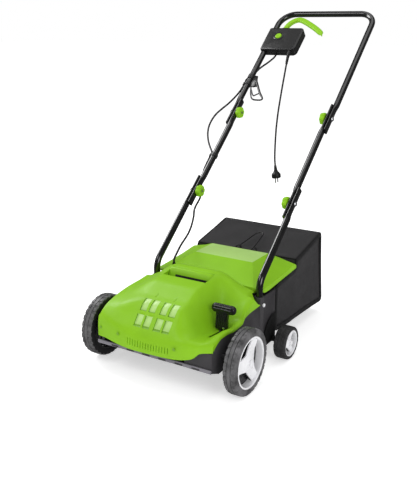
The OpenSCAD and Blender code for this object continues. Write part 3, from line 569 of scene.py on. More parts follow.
# tapered strain relief with grip rings
relief_route = [[-80, 945, 930.2], [-80, 938.6, 924.6], [-80, 937.8, 923.9], [-80, 929.5, 915],
                [-80, 922.5, 904], [-80, 917, 892], [-80, 912.5, 879]]
relief_path = spline(relief_route, 8)
along = np.linspace(0, 1, len(relief_path))
relief_r = np.interp(along, [0, 0.16, 0.3, 0.36, 1], [4.8, 4.8, 4.9, 7.3, 4.9])
RING_DEPTH, RINGS_FROM, RINGS_TO = 0.45, 0.45, 0.95
relief_r -= RING_DEPTH * (np.sin(along * 70) > 0.3) * (along > RINGS_FROM) * (along < RINGS_TO)
relief = make("mains_strain_relief", swept(relief_path, relief_r, relief_r, (1, 0, 0), 20), mat_cable,
              "upper_handle", ["strain_relief"])

# plug: a flared moulded body with two round pins
TILT = math.radians(8)
PIN_Y = 9.5


def on_plug(u, v, w):
    """Plug frame, w along the plug from its cord, to machine millimetres."""
    x = -77 - u * math.cos(TILT) + w * math.sin(TILT)
    return np.stack([x, 835 + v, 500 - u * math.sin(TILT) - w * math.cos(TILT)], 1)


def grip_ripple(a, r, w):
    return r * (1 - 0.035 * (np.abs(np.sin(a * 6)) > 0.75) * (34 < w < 47))


plug_profile = [(3.4, -0.5), (4.7, 0.3), (5.2, 5), (5.8, 7), (5.3, 8), (5.3, 9.5), (6.2, 10.5), (6.2, 13),
                (5.8, 14), (5.8, 15.5), (6.8, 16.5), (7.2, 20), (9.2, 24), (12.8, 28.5), (16.4, 32.5),
                (17.6, 35), (17.9, 38), (17.9, 46), (17.2, 48.6), (15.5, 49.8), (0.01, 49.9)]
plug_body = make("plug_body", lathe(plug_profile, 40, on_plug, grip_ripple), mat_cable, "upper_handle",
                 ["plug"])
pin = [(2.35, 49), (2.35, 66), (2.0, 68), (1.2, 68.9), (0.01, 69)]
pins = [lathe(pin, 40, lambda u, v, w, y=y: on_plug(u, v + y, w)) for y in (-PIN_Y, PIN_Y)]
plug_pins = make("plug_pins", joined(*pins), mat_steel, "upper_handle")

lead_row = to_row(lead_path)
tuple(to_row([lead_route[0]])[0])
[tuple(p) for p in lead_row]

# ---------------------------------------------------------------- hood

HOOD_HALF, REAR_Y = 207.0, 197.0
SLOT_X0, SLOT_X1, SLOT_Y0, SLOT_Y1 = 156.5, 163.5, -46, 50
GRIP_X, GRIP_Y0, GRIP_Y1 = 77, 72, 126
SOCKET_X, SOCKET_Y = 178, 183
bonnet = curve_through([[-128, 152], [-118, 166], [-93, 196], [-56, 239], [-22, 252], [35, 278], [88, 285],
                        [144, 296], [172, 290], [197, 262]])
shoulder = curve_through([[-100, 185], [-61, 208], [-9, 222], [51, 230], [104, 233], [165, 238], [197, 236]])
pocket = curve_through([[-100, 176], [-60, 172], [-15, 166], [33, 163], [50, 167], [62, 175], [76, 186],
                        [92, 199], [125, 224], [150, 236], [197, 236]])
rim = curve_through([[-100, 180], [-80, 184], [-49, 192], [-21, 192], [23, 184], [57, 186], [74, 190],
                     [95, 212], [125, 228], [165, 238], [197, 236]])
front_edge = curve_through([[-207, 110], [-163, 115], [-129, 113], [-72, 110], [17, 112], [80, 114],
                            [132, 121], [150, 128], [173, 147], [207, 152]])
EDGE_REAR = [[23, 172], [57, 174], [74, 177], [86, 190], [125, 197], [197, 199]]
right_edge = curve_through([[-97, 152], [-80, 166], [-49, 178], [-21, 178]] + EDGE_REAR)
left_edge = curve_through([[-97, 110], [-80, 140], [-49, 170], [-21, 176]] + EDGE_REAR)


def hood_front(x):
    return -NOSE_Y + (NOSE_Y - 97) * (np.abs(x) / HOOD_HALF) ** 2.5


def hood_height(x, y):
    plain = mix(bonnet(y), shoulder(y), smooth(68, 188, np.abs(x)))
    low = mix(pocket(y), rim(y), smooth(160, 204, x))
    in_pocket = smooth(74, 142, x) * (1 - smooth(84, 160, y))
    drop = 12 * np.clip((np.abs(x) - 190) / 17, 0, 1) ** 2
    corner = smooth(172, 196, np.abs(x)) * smooth(142, 184, y)
    return mix(mix(plain, low, in_pocket) - drop * np.where(x > 0, 0.5, 1), 202, corner)


# cooling windows (x0, x1, y0, y1) in two rows, slits along the front, and two ridges (x, y0, y1)
windows = []
for x0, x1 in ((-63, -38), (-32, -7), (7, 32), (38, 63)):
    windows += [(x0, x1, -107, -83), (x0 + 3, x1 + 1, -76, -42)]
slits = [-72 + 9.6 * k for k in range(16)]
ridges = [(-34, -35, -10), (33, -35, -10)]


def with_lines(base, extra, gap=1.05):
    """Sorted values, feature lines kept and base lines too near to one dropped."""
    extra = sorted(set(round(e, 3) for e in extra))
    return np.array(sorted([v for v in base if min(abs(v - e) for e in extra) > gap] + extra))


EDGE = 0.7
column_lines = [x + d for w in windows for x, d in ((w[0], 0), (w[0], EDGE), (w[1], 0), (w[1], -EDGE))]
column_lines += [s + d for s in slits for d in (-1.5, -0.9, 0.9, 1.5)]
column_lines += [r[0] + d for r in ridges for d in (-1.8, 0, 1.8)]
column_lines += [SLOT_X0, SLOT_X1] + [s * x for s in (-1, 1) for x in (GRIP_X, GRIP_X - 1, SOCKET_X)]
columns = with_lines(np.linspace(-HOOD_HALF, HOOD_HALF, 104), column_lines)
row_lines = [w[2] + d for w in windows for d in (0, EDGE, 2 * EDGE)]
row_lines += [w[3] - d for w in windows for d in (0, EDGE)]
row_lines += [r[k] for r in ridges for k in (1, 2)] + [SLOT_Y0, SLOT_Y1, GRIP_Y0, GRIP_Y1, SOCKET_Y]
rows = with_lines(np.concatenate([np.linspace(-NOSE_Y, -100, 12), np.linspace(-96, REAR_Y, 86)]), row_lines)
# shares of the height at which the front skirt and the side walls have a line of points
SKIRT = np.array([0, 0.05, 0.12, 0.2, 0.3, 0.33, 0.42, 0.5, 0.6, 0.7, 0.8, 0.83, 0.88, 0.94])
SIDE = np.array([0, 0.15, 0.35, 0.6, 0.85])

X, nominal = np.meshgrid(columns, rows)
reach = 20 + 110 * smooth(70, HOOD_HALF, np.abs(X))
fade = np.clip(1 - (nominal + NOSE_Y) / reach, 0, 1)
Y = nominal + (hood_front(X) + NOSE_Y) * fade
top = np.stack([X, Y, hood_height(X, Y)], 2)
skirt_z = front_edge(columns)[None] + (top[0, :, 2] - front_edge(columns))[None] * SKIRT[:, None]
skirt = np.stack([np.repeat(line[None], len(SKIRT), 0) for line in (columns, top[0, :, 1])] + [skirt_z], 2)
surface = np.concatenate([skirt, top])
first = len(SKIRT)


def softened(lines):
    """Each inner line of points, averaged with its neighbours."""
    return 0.25 * lines[:-2] + 0.5 * lines[1:-1] + 0.25 * lines[2:]


# soften the nose's upper edge
NOSE_PASSES, SIDE_PASSES = 70, 5
flat_weight = np.zeros(len(surface))
flat_weight[first - 12:first + 17] = 1
for _ in range(NOSE_PASSES):
    surface[1:-1] += (softened(surface) - surface[1:-1]) * flat_weight[1:-1, None, None]
# side walls, added outside the first and last columns
sides = []
for j, edge in ((0, left_edge), (-1, right_edge)):
    line = surface[:, j]
    low = np.minimum(edge(line[:, 1]), line[:, 2] - 1)
    sides.append(np.stack([np.column_stack([line[:, :2], mix(low, line[:, 2], f)]) for f in SIDE], 1))
surface = np.concatenate([sides[0], surface, sides[1][:, ::-1]], 1)
shift = len(SIDE)
# round the top side edges
side_weight = np.zeros(surface.shape[1])
side_weight[shift - 2:shift + 3] = 1
side_weight[-shift - 3:-shift + 2] = 1
across = surface.swapaxes(0, 1)
for _ in range(SIDE_PASSES):
    change = (softened(across) - across[1:-1]) * side_weight[1:-1, None, None]
    across[1:-1, first + 4:] += change[:, first + 4:]

normal = np.cross(np.gradient(surface, axis=1), np.gradient(surface, axis=0))
normal /= np.maximum(np.linalg.norm(normal, axis=2), 1e-9)[..., None]
normal *= np.sign(normal[..., 2:3] * 0.3 - normal[..., 1:2] + 1e-9)
# each point's place on the flat plan; the skirt and the side walls are off it
OFF_PLAN = 999.0
m, n = surface.shape[:2]
GX = np.zeros((m, n))
GX[:, shift:-shift] = columns[None]
GX[:, :shift], GX[:, -shift:] = -OFF_PLAN, OFF_PLAN
GY = np.full((m, n), -OFF_PLAN)
GY[first:, shift:-shift] = nominal
depth = np.zeros((m, n))
for x0, x1, y0, y1 in windows:
    u, v = (GX - x0) / (x1 - x0), (GY - y0) / (y1 - y0)
    inside = (GX > x0 + 0.1) & (GX < x1 - 0.1) & (GY > y0 + 0.1) & (GY < y1 - 0.1)
    depth = np.where(inside, 0.9 + 2.4 * np.maximum(np.maximum(1 - u * 2.6, 1 - v * 2.6), 0), depth)
# the slits lie between two of the skirt's lines
SLIT_LOW, SLIT_HIGH, SLIT_DEPTH = 5, 11, 2.4
for s in slits:
    depth[SLIT_LOW:SLIT_HIGH] = np.where(np.abs(GX - s) < 1, SLIT_DEPTH, depth)[SLIT_LOW:SLIT_HIGH]
for x, y0, y1 in ridges:
    t = np.clip((GY - y0) / (y1 - y0), 0, 1)
    inside = (np.abs(GX - x) < 0.2) & (GY >= y0) & (GY <= y1)
    depth = np.where(inside, 1.6 * np.sin(t * math.pi), depth)
surface = surface - normal * depth[..., None]

NEAR = 0.5


def hood_cell(i, j):
    """Whether a cell is there: not in the lever's slot, the carry grip's mouth or the tube sockets."""
    if i < first:
        return shift <= j < n - shift - 1
    x0, x1, y0 = GX[i, j], GX[i, j + 1], GY[i, j]
    if x0 > SLOT_X0 - NEAR and x1 < SLOT_X1 + NEAR and SLOT_Y0 - NEAR < y0 < SLOT_Y1 - NEAR:
        return False
    if x0 > -GRIP_X - NEAR and x1 < GRIP_X + NEAR and GRIP_Y0 - NEAR < y0 < GRIP_Y1 - NEAR:
        return False
    beside = j < shift or x1 <= NEAR - SOCKET_X or x0 >= SOCKET_X - NEAR
    return not (beside and rows[i - first] >= SOCKET_Y - NEAR)


def hood_slot(i, j):
    """The material of a cell: 0 the hood's, 1 the windows' (the paler green, painted highlight), 2 their
    edges' and the slits' (the darker green, painted shade).
    """
    cx, cy = (GX[i, j] + GX[i, j + 1]) / 2, (GY[i, j] + GY[i + 1, j]) / 2
    if SLIT_LOW <= i < SLIT_HIGH - 1 and any(abs(cx - s) < 0.95 for s in slits):
        return 2
    for x0, x1, y0, y1 in windows:
        if x0 < cx < x1 and y0 < cy < y1:
            return 2 if cx < x0 + EDGE or cy < y0 + 2 * EDGE else 1
    return 0


hood_faces = grid_faces(m, n, keep=hood_cell)
make("hood_shell", (surface.reshape(-1, 3), hood_faces), [mat_green, mat_green_painted_highlight, mat_green_painted_shade], "deck",
     ["hood"], 38, [hood_slot(*divmod(f[0], n)) for f in hood_faces], solid=2.4)

# carry grip: a scooped trough behind the front lip, with painted shadow, near-black faces, along its foot
trough = [(72, 283), (72.5, 275), (74, 266), (80, 260), (90, 259), (98, 262), (102.5, 277.5), (109, 292),
          (114, 296), (122, 295.5), (126, 292.5)]
trough_x = [-GRIP_X, -76, -70, -52, 0, 70, 76, GRIP_X]
# how far the trough's foot rises, and the share of the rear lip's drop, at its end lines
END_LIFT = {GRIP_X: (4, 1), 76: (1.2, 0.5)}
LIP_DROP = [0, 0, 0, 0, 0, 0, 0, 3, 6.5, 5.5, 2.5]
points = []
for x in trough_x:
    lift, share = END_LIFT.get(abs(x), (0, 0))
    for k, (y, z) in enumerate(trough):
        points.append((x, y, z - share * LIP_DROP[k] + (lift if 1 < k < 6 else 0)))
faces = grid_faces(len(trough_x), len(trough))
# faces along the trough's foot are near-black: painted shadow
dark = [int(3 <= f[0] // len(trough) <= 5 and 2 <= f[0] % len(trough) <= 5) for f in faces]
faces += [cap[::-1] for cap in end_caps(len(trough_x), len(trough))]
make("carry_grip_trough", (points, faces), [mat_green, mat_painted_shadow_and_seam], "deck", angle=50,
     face_slots=dark + [0, 0])
# the rounded bar behind it
bar_x = np.linspace(-78, 80, 48)
bar_path = [(x, 136 + 2 * (abs(x) / 80) ** 4, 289.6 - 4 * (abs(x) / 84) ** 6) for x in bar_x]
round_end = np.sqrt(np.clip(1 - ((bar_x - 1) / 79.5) ** 12, 0.002, 1))
make("carry_grip_bar", swept(bar_path, 17 * round_end, 8 * round_end, (0, 1, 0.1), 24, 2.6), mat_green,
     "deck")

# a plain plate under the lever's slot, in the darker green as painted shade
slot_floor = [(150, -52, 158), (170, -52, 158), (170, 56, 152), (150, 56, 152)]
make("lever_slot_floor", (slot_floor, [(0, 1, 2, 3)]), mat_green_painted_shade, "deck", solid=1)

# ---------------------------------------------------------------- rear flap

flap_rows = [204.2, 206, 224, 252, 280, 309, 365, 421, 441, 454]
plateau = [[204.2, 231], [206, 243], [224, 251], [309, 286], [421, 286], [441, 278], [454, 262]]
flap_shoulder = [[204.2, 229], [206, 241], [224, 240], [341, 247], [441, 258], [454, 250]]
flap_edge = [[204.2, 226], [206, 236], [224, 226], [240, 224], [341, 232], [454, 240]]
flap_inner = [[206, 168], [224, 160], [309, 110], [454, 110]]
flap_outer = [[206, 178], [218, 178], [224, 201], [454, 201]]
HINGE = (210, 234)

points = []
for y in flap_rows:
    a, b = on_line(flap_inner, y), on_line(flap_outer, y)
    high, low = on_line(plateau, y), on_line(flap_shoulder, y)
    half_x = [0, a / 2, a, mix(a, b, 0.5), b, b]
    half_z = [high, high, high, mix(high, low, 0.5), low, on_line(flap_edge, y)]
    points += [(math.copysign(half_x[abs(k)], k), y, half_z[abs(k)]) for k in range(-5, 6)]
flap_faces = grid_faces(len(flap_rows), 11)
# the plateau's middle faces take the paler green: a painted highlight
pale = [int(5 <= f[0] // 11 <= 7 and 3 <= f[0] % 11 <= 6) for f in flap_faces]
make("rear_flap_cover", (points, flap_faces), [mat_green, mat_green_painted_highlight], "flap", ["rear_flap"],
     24, pale, bevel=(3.5, 3, 9), solid=2.4)
knuckles = []
for x in (-140, 0, 140):
    profile = [(5.2, x - 15), (6, x - 14.2), (6, x + 14.2), (5.2, x + 15), (3.1, x + 15), (3.1, x - 15)]
    knuckles.append(turned(profile, HINGE, 1, 32))
make("rear_flap_knuckles", joined(*knuckles), mat_green, "flap")

# ---------------------------------------------------------------- painted highlight along the base's front lip, painted shade round the rear axle

# a light grey bar along the lip's lower edge: a painted highlight, with dark notches on it
lip_highlight_path = [(x, -101.5, 94 - 0.4 * math.cos(x / 30)) for x in np.linspace(-203.5, 203.5, 90)]
make("front_lip_highlight_strip", swept(lip_highlight_path, 5.8, 2.6, (0, 0, 1), 20, 3.2), mat_lip_painted_highlight, "deck")
ribs = [swept([(x, -102.2, 93), (x + 26, -102.2, 93)], 3.4, 2.4, (0, 0, 1), 12, 4)
        for x in np.arange(-150, 190, 58)]
make("front_lip_notches", joined(*ribs), mat_dark, "deck")

# near-black plates on the base's sides round the rear axle: painted shade under the bag
shade_plate = [(216, 48), (214, 92), (226, 116), (244, 131), (268, 141), (288, 145), (288, 48)]
shade_plates = [slab(shade_plate, 0, 1.2, lambda p, s=s: np.stack([s * (208.9 + p[:, 2]), p[:, 0], p[:, 1]], 1))
          for s in (-1, 1)]
make("rear_axle_painted_shade_plates", joined(*shade_plates), mat_painted_shadow_and_seam, "deck", bevel=(0.5, 2, 40))

# ---------------------------------------------------------------- wheels

TRACK = 279.0
# share of a wheel's radius at which its rim ends and its tyre starts
SEAT = 0.78


def tyre(name, centre, radius, width, side, body, node, material):
    """A tyre with a ribbed tread: a centre rib, two grooves and notched shoulder lugs."""
    inner, mid = SEAT * radius, TRACK - width / 2
    half = width / 2
    lugs = 30 if radius > 80 else 20
    # half the tread, from its middle outwards: (share of the half width, share of the radius)
    tread = [(0.24, 1.0), (0.27, 0.975), (0.33, 0.975), (0.36, 1.0), (0.45, 1.0), (0.62, 0.998), (0.8, 0.99),
             (0.9, 0.965), (0.97, 0.92), (1.0, 0.86)]
    across = [(-w, r) for w, r in tread[::-1]] + [(0, 1.0)] + tread
    profile = [(inner, mid - half + 1), (inner + 0.03 * radius, mid - half)]
    profile += [(radius * r, mid + half * w) for w, r in across]
    profile += [(inner + 0.045 * radius, mid + half), (inner + 0.03 * radius, mid + half - 0.8),
                (inner, mid + half - 1.5)]

    def shape(a, r, x):
        w = (x - mid) / half
        phase = (a * lugs / (2 * math.pi) + 0.25 * np.sign(w)) % 1
        cut = smooth(0.0, 0.06, phase) * (1 - smooth(0.26, 0.32, phase))
        return r - cut * 0.027 * radius * (abs(w) > 0.4) * (r > 0.9 * radius)

    count = lugs * 10
    # faces on the tyre's inner side take the near-black rubber: painted shade
    inward = [int(x < mid - 0.93 * half or x == profile[-1][1]) for _, x in profile for _ in range(count)]
    make(name, turned(profile, centre, side, count, shape), [material, mat_tyre_inner_painted_shade], body, [node],
         28, inward)


def rim_piece(name, centre, radius, width, side, hub_x, body, node):
    """A moulded rim: a deep barrel with a bright bead and three broad spokes flaring into a smooth hub; the
    faces seen through the spokes' openings are black, as painted shade.
    """
    outer = SEAT * radius
    inner = outer - 0.055 * radius
    face, back = TRACK - 1.2, TRACK - width
    barrel = [(outer, back + 2), (outer, face - 2), (outer + 0.6, face - 0.6), (outer - 0.8, face),
              (inner + 1.2, face), (inner, face - 1.6), (inner - 0.6, face - 9), (inner - 1, face - 25),
              (inner - 1.2, back + 4), (inner, back + 2)]
    # the barrel's faces from this row of its profile inwards are black: painted shade inside the white rim
    around, deep_from = 120, 7
    parts = [turned(barrel, centre, side, around)]
    # the spokes are one lobed plate: its edge radius for each direction
    reach = inner + 0.6
    share = np.linspace(1, 0.36, 120)
    lean = np.degrees(np.arcsin(np.clip((0.225 + 0.36 * (1 - share) ** 2) / share, 0, 1)))
    corners = [k * 120 + 180 + d * lean[[4, 10, 18, 26]] for k in range(3) for d in (-1, 1)]
    angles = np.sort(np.concatenate([np.linspace(0, 360, 145)[:-1]] + corners) % 360)
    off = np.abs((angles - 180 + 60) % 120 - 60)
    edge = np.interp(off, lean, share) * reach
    edge = np.where(off <= lean[0], reach, np.maximum(edge, 0.39 * reach))
    a, count, hub = np.radians(angles), len(angles), 0.27 * radius

    def height(rho):
        dome = 7.5 * np.clip(1 - (rho / hub) ** 2, 0, 1) ** 0.5
        return face - 7.5 + dome * 0.55 - 3.0 * np.exp(-((rho - 0.62 * reach) / (0.22 * reach)) ** 2)

    def plate_ring(rho, x):
        return np.stack([side * x, centre[0] + rho * np.cos(a), centre[1] + rho * np.sin(a)], 1)

    rings = []
    for t in (0.02, 0.12, 0.24, 0.34, 0.42, 0.5, 0.6, 0.7, 0.8, 0.9, 0.965, 0.99, 1.0):
        rings.append(plate_ring(edge * t, height(edge * t) - {0.99: 0.35, 1.0: 1.4}.get(t, 0)))
    front_rings = len(rings)
    for drop in (4, 8, 11):
        rho = edge * (1 - 0.002 * drop)
        rings.append(plate_ring(rho, height(rho) - drop))
    rings.append(plate_ring(0.1, np.full(count, face - 18)))
    faces = grid_faces(len(rings), count, wrap=True) + [tuple(range(count))]
    deep = len(parts[0][1]) + front_rings * count
    deep_end = len(parts[0][1]) + len(faces) - 1
    parts.append((np.concatenate(rings), faces))
    # an axle boss in the middle; then a web behind the spokes, a black sheet of painted shade, and the hub's
    # tube inwards, also black as painted shade
    boss_r = 0.06 * radius
    boss = [(boss_r + 2, face - 5), (boss_r + 2, face - 3.2), (boss_r + 1, face - 2.6), (1.5, face - 2.4),
            (1.5, face - 5)]
    parts.append(turned(boss, centre, side, 40))
    bright = sum(len(part[1]) for part in parts)
    web = [(hub * 0.5, face - 24), (hub * 0.5, face - 26), (inner - 1.5, face - 26), (inner - 1.5, face - 24)]
    parts.append(turned(web, centre, side, 96))
    hub_tube = [(hub * 0.55, hub_x), (hub * 0.55, face - 12), (6.2, face - 12), (6.2, hub_x)]
    parts.append(turned(hub_tube, centre, side, 48))
    points, faces = joined(*parts)
    # the black faces are painted shade: the inner barrel, the spokes' side walls and back, the web and the
    # hub's tube
    black = [int(around * deep_from <= k < around * len(barrel) or k >= bright or deep <= k < deep_end)
             for k in range(len(faces))]
    make(name, (points, faces), [mat_rim, mat_black_and_painted_shade], body, [node], 32, black)


# end of the machine, centre, radius, tyre width, where the hub starts, tyre material (the rear one darker, as
# painted shade)
wheels = [("front", (0, 100), 100, 43, 232, mat_tyre), ("rear", (270, 54), 54, 42, 207, mat_tyre_rear_painted_shade)]
for side, word in ((-1, "left"), (1, "right")):
    for end, centre, radius, width, hub_x, material in wheels:
        body = f"wheel_{end}_{word}"
        tyre(f"{end}_tyre_{word}_tread", centre, radius, width, side, body, f"{end}_tyre_{word}", material)
        rim_piece(f"{end}_rim_{word}_moulding", centre, radius, width, side, hub_x, body, f"{end}_rim_{word}")

# ---------------------------------------------------------------- handle tubes

LEG, MID_LEG = 194.1, 181.8
LOWER_S, UPPER_S, CORNER = 305.0, 675.0, 62.0
FLAT_HALF_T, FLAT_HALF_W, FLAT_FREE, FLAT_BODY = 6.0, 13.5, 58.0, 66.0
# where the flat stretch starts to swell to the round tube, and the lower bend's radius and its turn in degrees
FLAT_END, BEND_R, BEND_TURN = 34, 60, 48.8


def flat_stretch(s_fold, free):
    """Distances, and half thickness and half width there, of a pressed end with its free end towards free."""
    tip = s_fold + free * FLAT_FREE
    body = s_fold - free * FLAT_BODY
    out = []
    for k in range(9):
        a = k / 8 * math.pi / 2
        out.append((tip - free * FLAT_HALF_W * (1 - math.sin(a)), FLAT_HALF_T - 1.2 * (1 - math.sin(a)) ** 3,
                    max(FLAT_HALF_W * math.cos(math.pi / 2 - a), 0.4)))
    inward = [s_fold + free * 20, s_fold, s_fold - free * FLAT_END]
    out += [(s, FLAT_HALF_T, FLAT_HALF_W) for s in inward]
    for k in range(1, 9):
        t = smooth(0, 1, k / 8)
        out.append((mix(inward[-1], body, k / 8), mix(FLAT_HALF_T, TUBE, t), mix(FLAT_HALF_W, TUBE, t)))
    return out


def tube(name, x, stations, body, node):
    """A tube at x through stations (y, z, half extent along X, half extent across)."""
    y, z, wide, thick = np.array(stations, float).T
    path = np.column_stack([np.full(len(y), x), y, z])
    make(name, swept(path, wide, thick, (1, 0, 0), 28), mat_tube, body, [node], 40)


def on_leg(run):
    """Handle stations (s, half thickness, half width) as a tube's stations."""
    return [(*on_handle([(0, s, 0)])[0][1:], t, w) for s, t, w in run]


def plain_run(s0, s1, count):
    return [(s, TUBE, TUBE) for s in np.linspace(s0, s1, count)]


for side, word in ((-1, "left"), (1, "right")):
    stations = [(BEND_Y, z, TUBE, TUBE) for z in np.linspace(106, 236, 8)]
    centre_y, centre_z = BEND_Y + BEND_R, BEND_Z - BEND_R * math.tan(math.radians(BEND_TURN / 2))
    for y, z in arc(centre_y, centre_z, BEND_R, 180, 180 - BEND_TURN, 12):
        stations.append((y, z, TUBE, TUBE))
    flat = flat_stretch(LOWER_S, 1)[::-1]
    stations += on_leg(plain_run(45, flat[0][0] - 6, 10) + flat)
    tube(f"lower_tube_{word}_drawn", side * LEG, stations, "deck", f"lower_tube_{word}")

    low, high = flat_stretch(LOWER_S, -1), flat_stretch(UPPER_S, 1)[::-1]
    run = low + plain_run(low[-1][0] + 8, high[0][0] - 8, 12) + high
    tube(f"middle_tube_{word}_drawn", side * MID_LEG, on_leg(run), "middle_handle", f"middle_tube_{word}")

# the upper tube: a leg, a corner and half of the crossbar, then the same mirrored
leg_run = flat_stretch(UPPER_S, -1)
leg_run += plain_run(leg_run[-1][0] + 8, CROSSBAR_S - CORNER - 8, 16)
half_tube = [(-LEG, s, t, w) for s, t, w in leg_run]
half_tube += [(x, s, TUBE, TUBE) for x, s in arc(-LEG + CORNER, CROSSBAR_S - CORNER, CORNER, 180, 90, 16)]
half_tube += [(x, CROSSBAR_S, TUBE, TUBE) for x in np.linspace(-LEG + CORNER + 12, 0, 8)]
whole = np.array(half_tube + [(-x, s, t, w) for x, s, t, w in half_tube[-2::-1]])
path = np.column_stack([whole[:, :2], np.zeros(len(whole))])
points, faces = swept(path, whole[:, 2], whole[:, 3], carried(path, (1, 0, 0)), 28)
make("upper_tube_drawn", (on_handle(points), faces), mat_tube, "upper_handle", ["upper_tube"],
     40)

# ---------------------------------------------------------------- fold knobs


def knob(level, word, s):
    """A six-lobed hand knob with a rounded rim and a dished cap."""
    inner_face = MID_LEG - FLAT_HALF_T - 0.3
    profile = [(6, 0), (17.5, 0), (19.6, 0.6), (20.6, 2), (21.2, 5), (21.2, 11), (20.4, 14.6), (18.8, 16.8),
               (16.2, 17.8), (12, 18), (10, 17.2), (8, 16.2), (4.1, 16), (4.1, 0)]

    def shape(a, r, x):
        lobe = np.clip((r - 10) / 10, 0, 1)
        return r - lobe * 2.6 * (0.5 - 0.5 * np.cos(6 * a)) ** 1.5

    side = -1 if word == "left" else 1
    solid = turned([(r, inner_face - d) for r, d in profile], on_handle([(0, s, 0)])[0][1:], side, 96, shape)
    make(f"knob_{level}_{word}_moulded", solid, mat_green, f"knob_{level[0]}{word[0]}",
         [f"knob_{level}_{word}"], 30)


for level, s in (("lower", LOWER_S), ("upper", UPPER_S)):
    for word in ("left", "right"):
        knob(level, word, s)

# ---------------------------------------------------------------- switch box, lever and button

X0, X1, S0, S1 = -208.0, -60.0, 990.0, 1110.0
BOX_R, NICK = 16, 4
outline = [(X0, S1 - NICK), (X0, S0 + NICK), (X0 + NICK, S0)]
outline += arc(X1 - BOX_R, S0 + BOX_R, BOX_R, 270, 360, 8) + arc(X1 - BOX_R, S1 - BOX_R, BOX_R, 0, 90, 8)
outline += [(X0 + NICK, S1)]
BUTTON = (-154, 1062)
make("switch_case_upper", holed_slab(outline, (*BUTTON, 13.5), 0.4, 17.4, on_handle), mat_black_and_painted_shade,
     "upper_handle", ["switch_case_front"], 32, bevel=(4.5, 4, 30))
panel = [((u - X0) * 0.9 + X0 + 5, (v - S0) * 0.88 + S0 + 8) for u, v in outline]
make("switch_case_panel", holed_slab(panel, (*BUTTON, 14.2), 16.5, 18, on_handle), mat_case, "upper_handle",
     bevel=(0.6, 2, 30))
make("switch_case_lower", slab(outline, -15, -0.4, on_handle), mat_black_and_painted_shade, "upper_handle",
     ["switch_case_back"], 32, bevel=(3, 3, 30))
inset = [((u - X0) * 0.985 + X0 + 1.2, (v - S0) * 0.98 + S0 + 1.3) for u, v in outline]
make("switch_case_seam", slab(inset, -0.6, 0.6, on_handle), mat_painted_shadow_and_seam, "upper_handle")

collar = [(20.5, 17.4), (20, 19), (18.6, 19.9), (15, 19.9), (14, 19), (13.6, 17)]
make("button_collar", turned_on_handle(collar, *BUTTON), mat_black_and_painted_shade, "upper_handle")
cap = [(12.9, 5.5), (12.9, 19.5), (12.5, 21), (11.4, 22), (9.5, 22.5), (6.5, 22.1), (3, 21.8), (0.01, 21.7)]
make("lock_button_cap", turned_on_handle(cap, *BUTTON), mat_green, "button", ["lock_button"])
screw = [(4.6, -15.2), (4.6, -15.9), (3.8, -16.2), (2.2, -16.2), (1.6, -15.4), (0.01, -15.4)]
screws = [turned_on_handle(screw, x, s, 24) for x, s in ((-74, 1004), (-74, 1096), (-172, 1004))]
make("switch_case_screws", joined(*screws), mat_dull_steel, "upper_handle")

lever_line = [(-149, 1086), (-150, 1098), (-152, 1114), (-149, 1138), (-139, 1158), (-122, 1171.5),
              (-104, 1173), (-80, 1162), (-50, 1143), (-20, 1122), (4, 1102), (11, 1093), (16, 1084.5)]
lever_path = spline([(x, s, 0) for x, s in lever_line], 5)
t = np.linspace(0, 1, len(lever_path))
lever_wide = np.interp(t, [0, 0.1, 0.3, 0.5, 0.8, 0.855, 0.9, 1], [9.5, 9.5, 10.6, 10.9, 10.7, 9.6, 3.4, 1.5])
lever_thick = np.interp(t, [0, 0.8, 0.92, 1], [6.6, 6.8, 4.5, 2.2])
tangent = unit(np.gradient(lever_path, axis=0))
across = np.stack([-tangent[:, 1], tangent[:, 0], np.zeros(len(t))], 1)
points, faces = swept(lever_path, lever_wide, lever_thick, across, 24, 3.4)
make("switch_lever_moulded", (on_handle(points), faces), mat_green, "lever", ["switch_lever"],
     40)
collar = [(-172, 1108), (-128, 1108), (-132, 1118), (-140, 1121.5), (-160, 1121.5), (-168, 1118)]
make("lever_collar", slab(collar, -8, 8, on_handle), mat_case, "upper_handle",
     bevel=(2, 3, 30))

# ---------------------------------------------------------------- height lever's T-handle

LEVER_X, GRIP_R = 160.0, 13.4
STEM_X = LEVER_X - 3
# the bar's rounded ends as (distance from its middle, radius)
bar_end = [(33.5, 13.0), (36, 11.6), (37.4, 9.2), (38, 5)]
bar = [(r, -x) for x, r in bar_end[::-1]] + [(GRIP_R, x) for x in np.linspace(-30, 30, 25)]
bar += [(r, x) for x, r in bar_end]


def bar_rib(a, r, x):
    if r < 10:
        return np.full(len(a), r)
    return r - 1.3 + 1.3 * smooth(-0.3, 0.5, np.cos(a * 8)) * (abs(x) < 32)


points, faces = lathe(bar, 48, lambda u, v, w: np.stack([LEVER_X + w, 43 + u, 227 + 1.06 * v], 1), bar_rib)
handle_parts = [(points, faces + end_caps(len(bar), 48))]
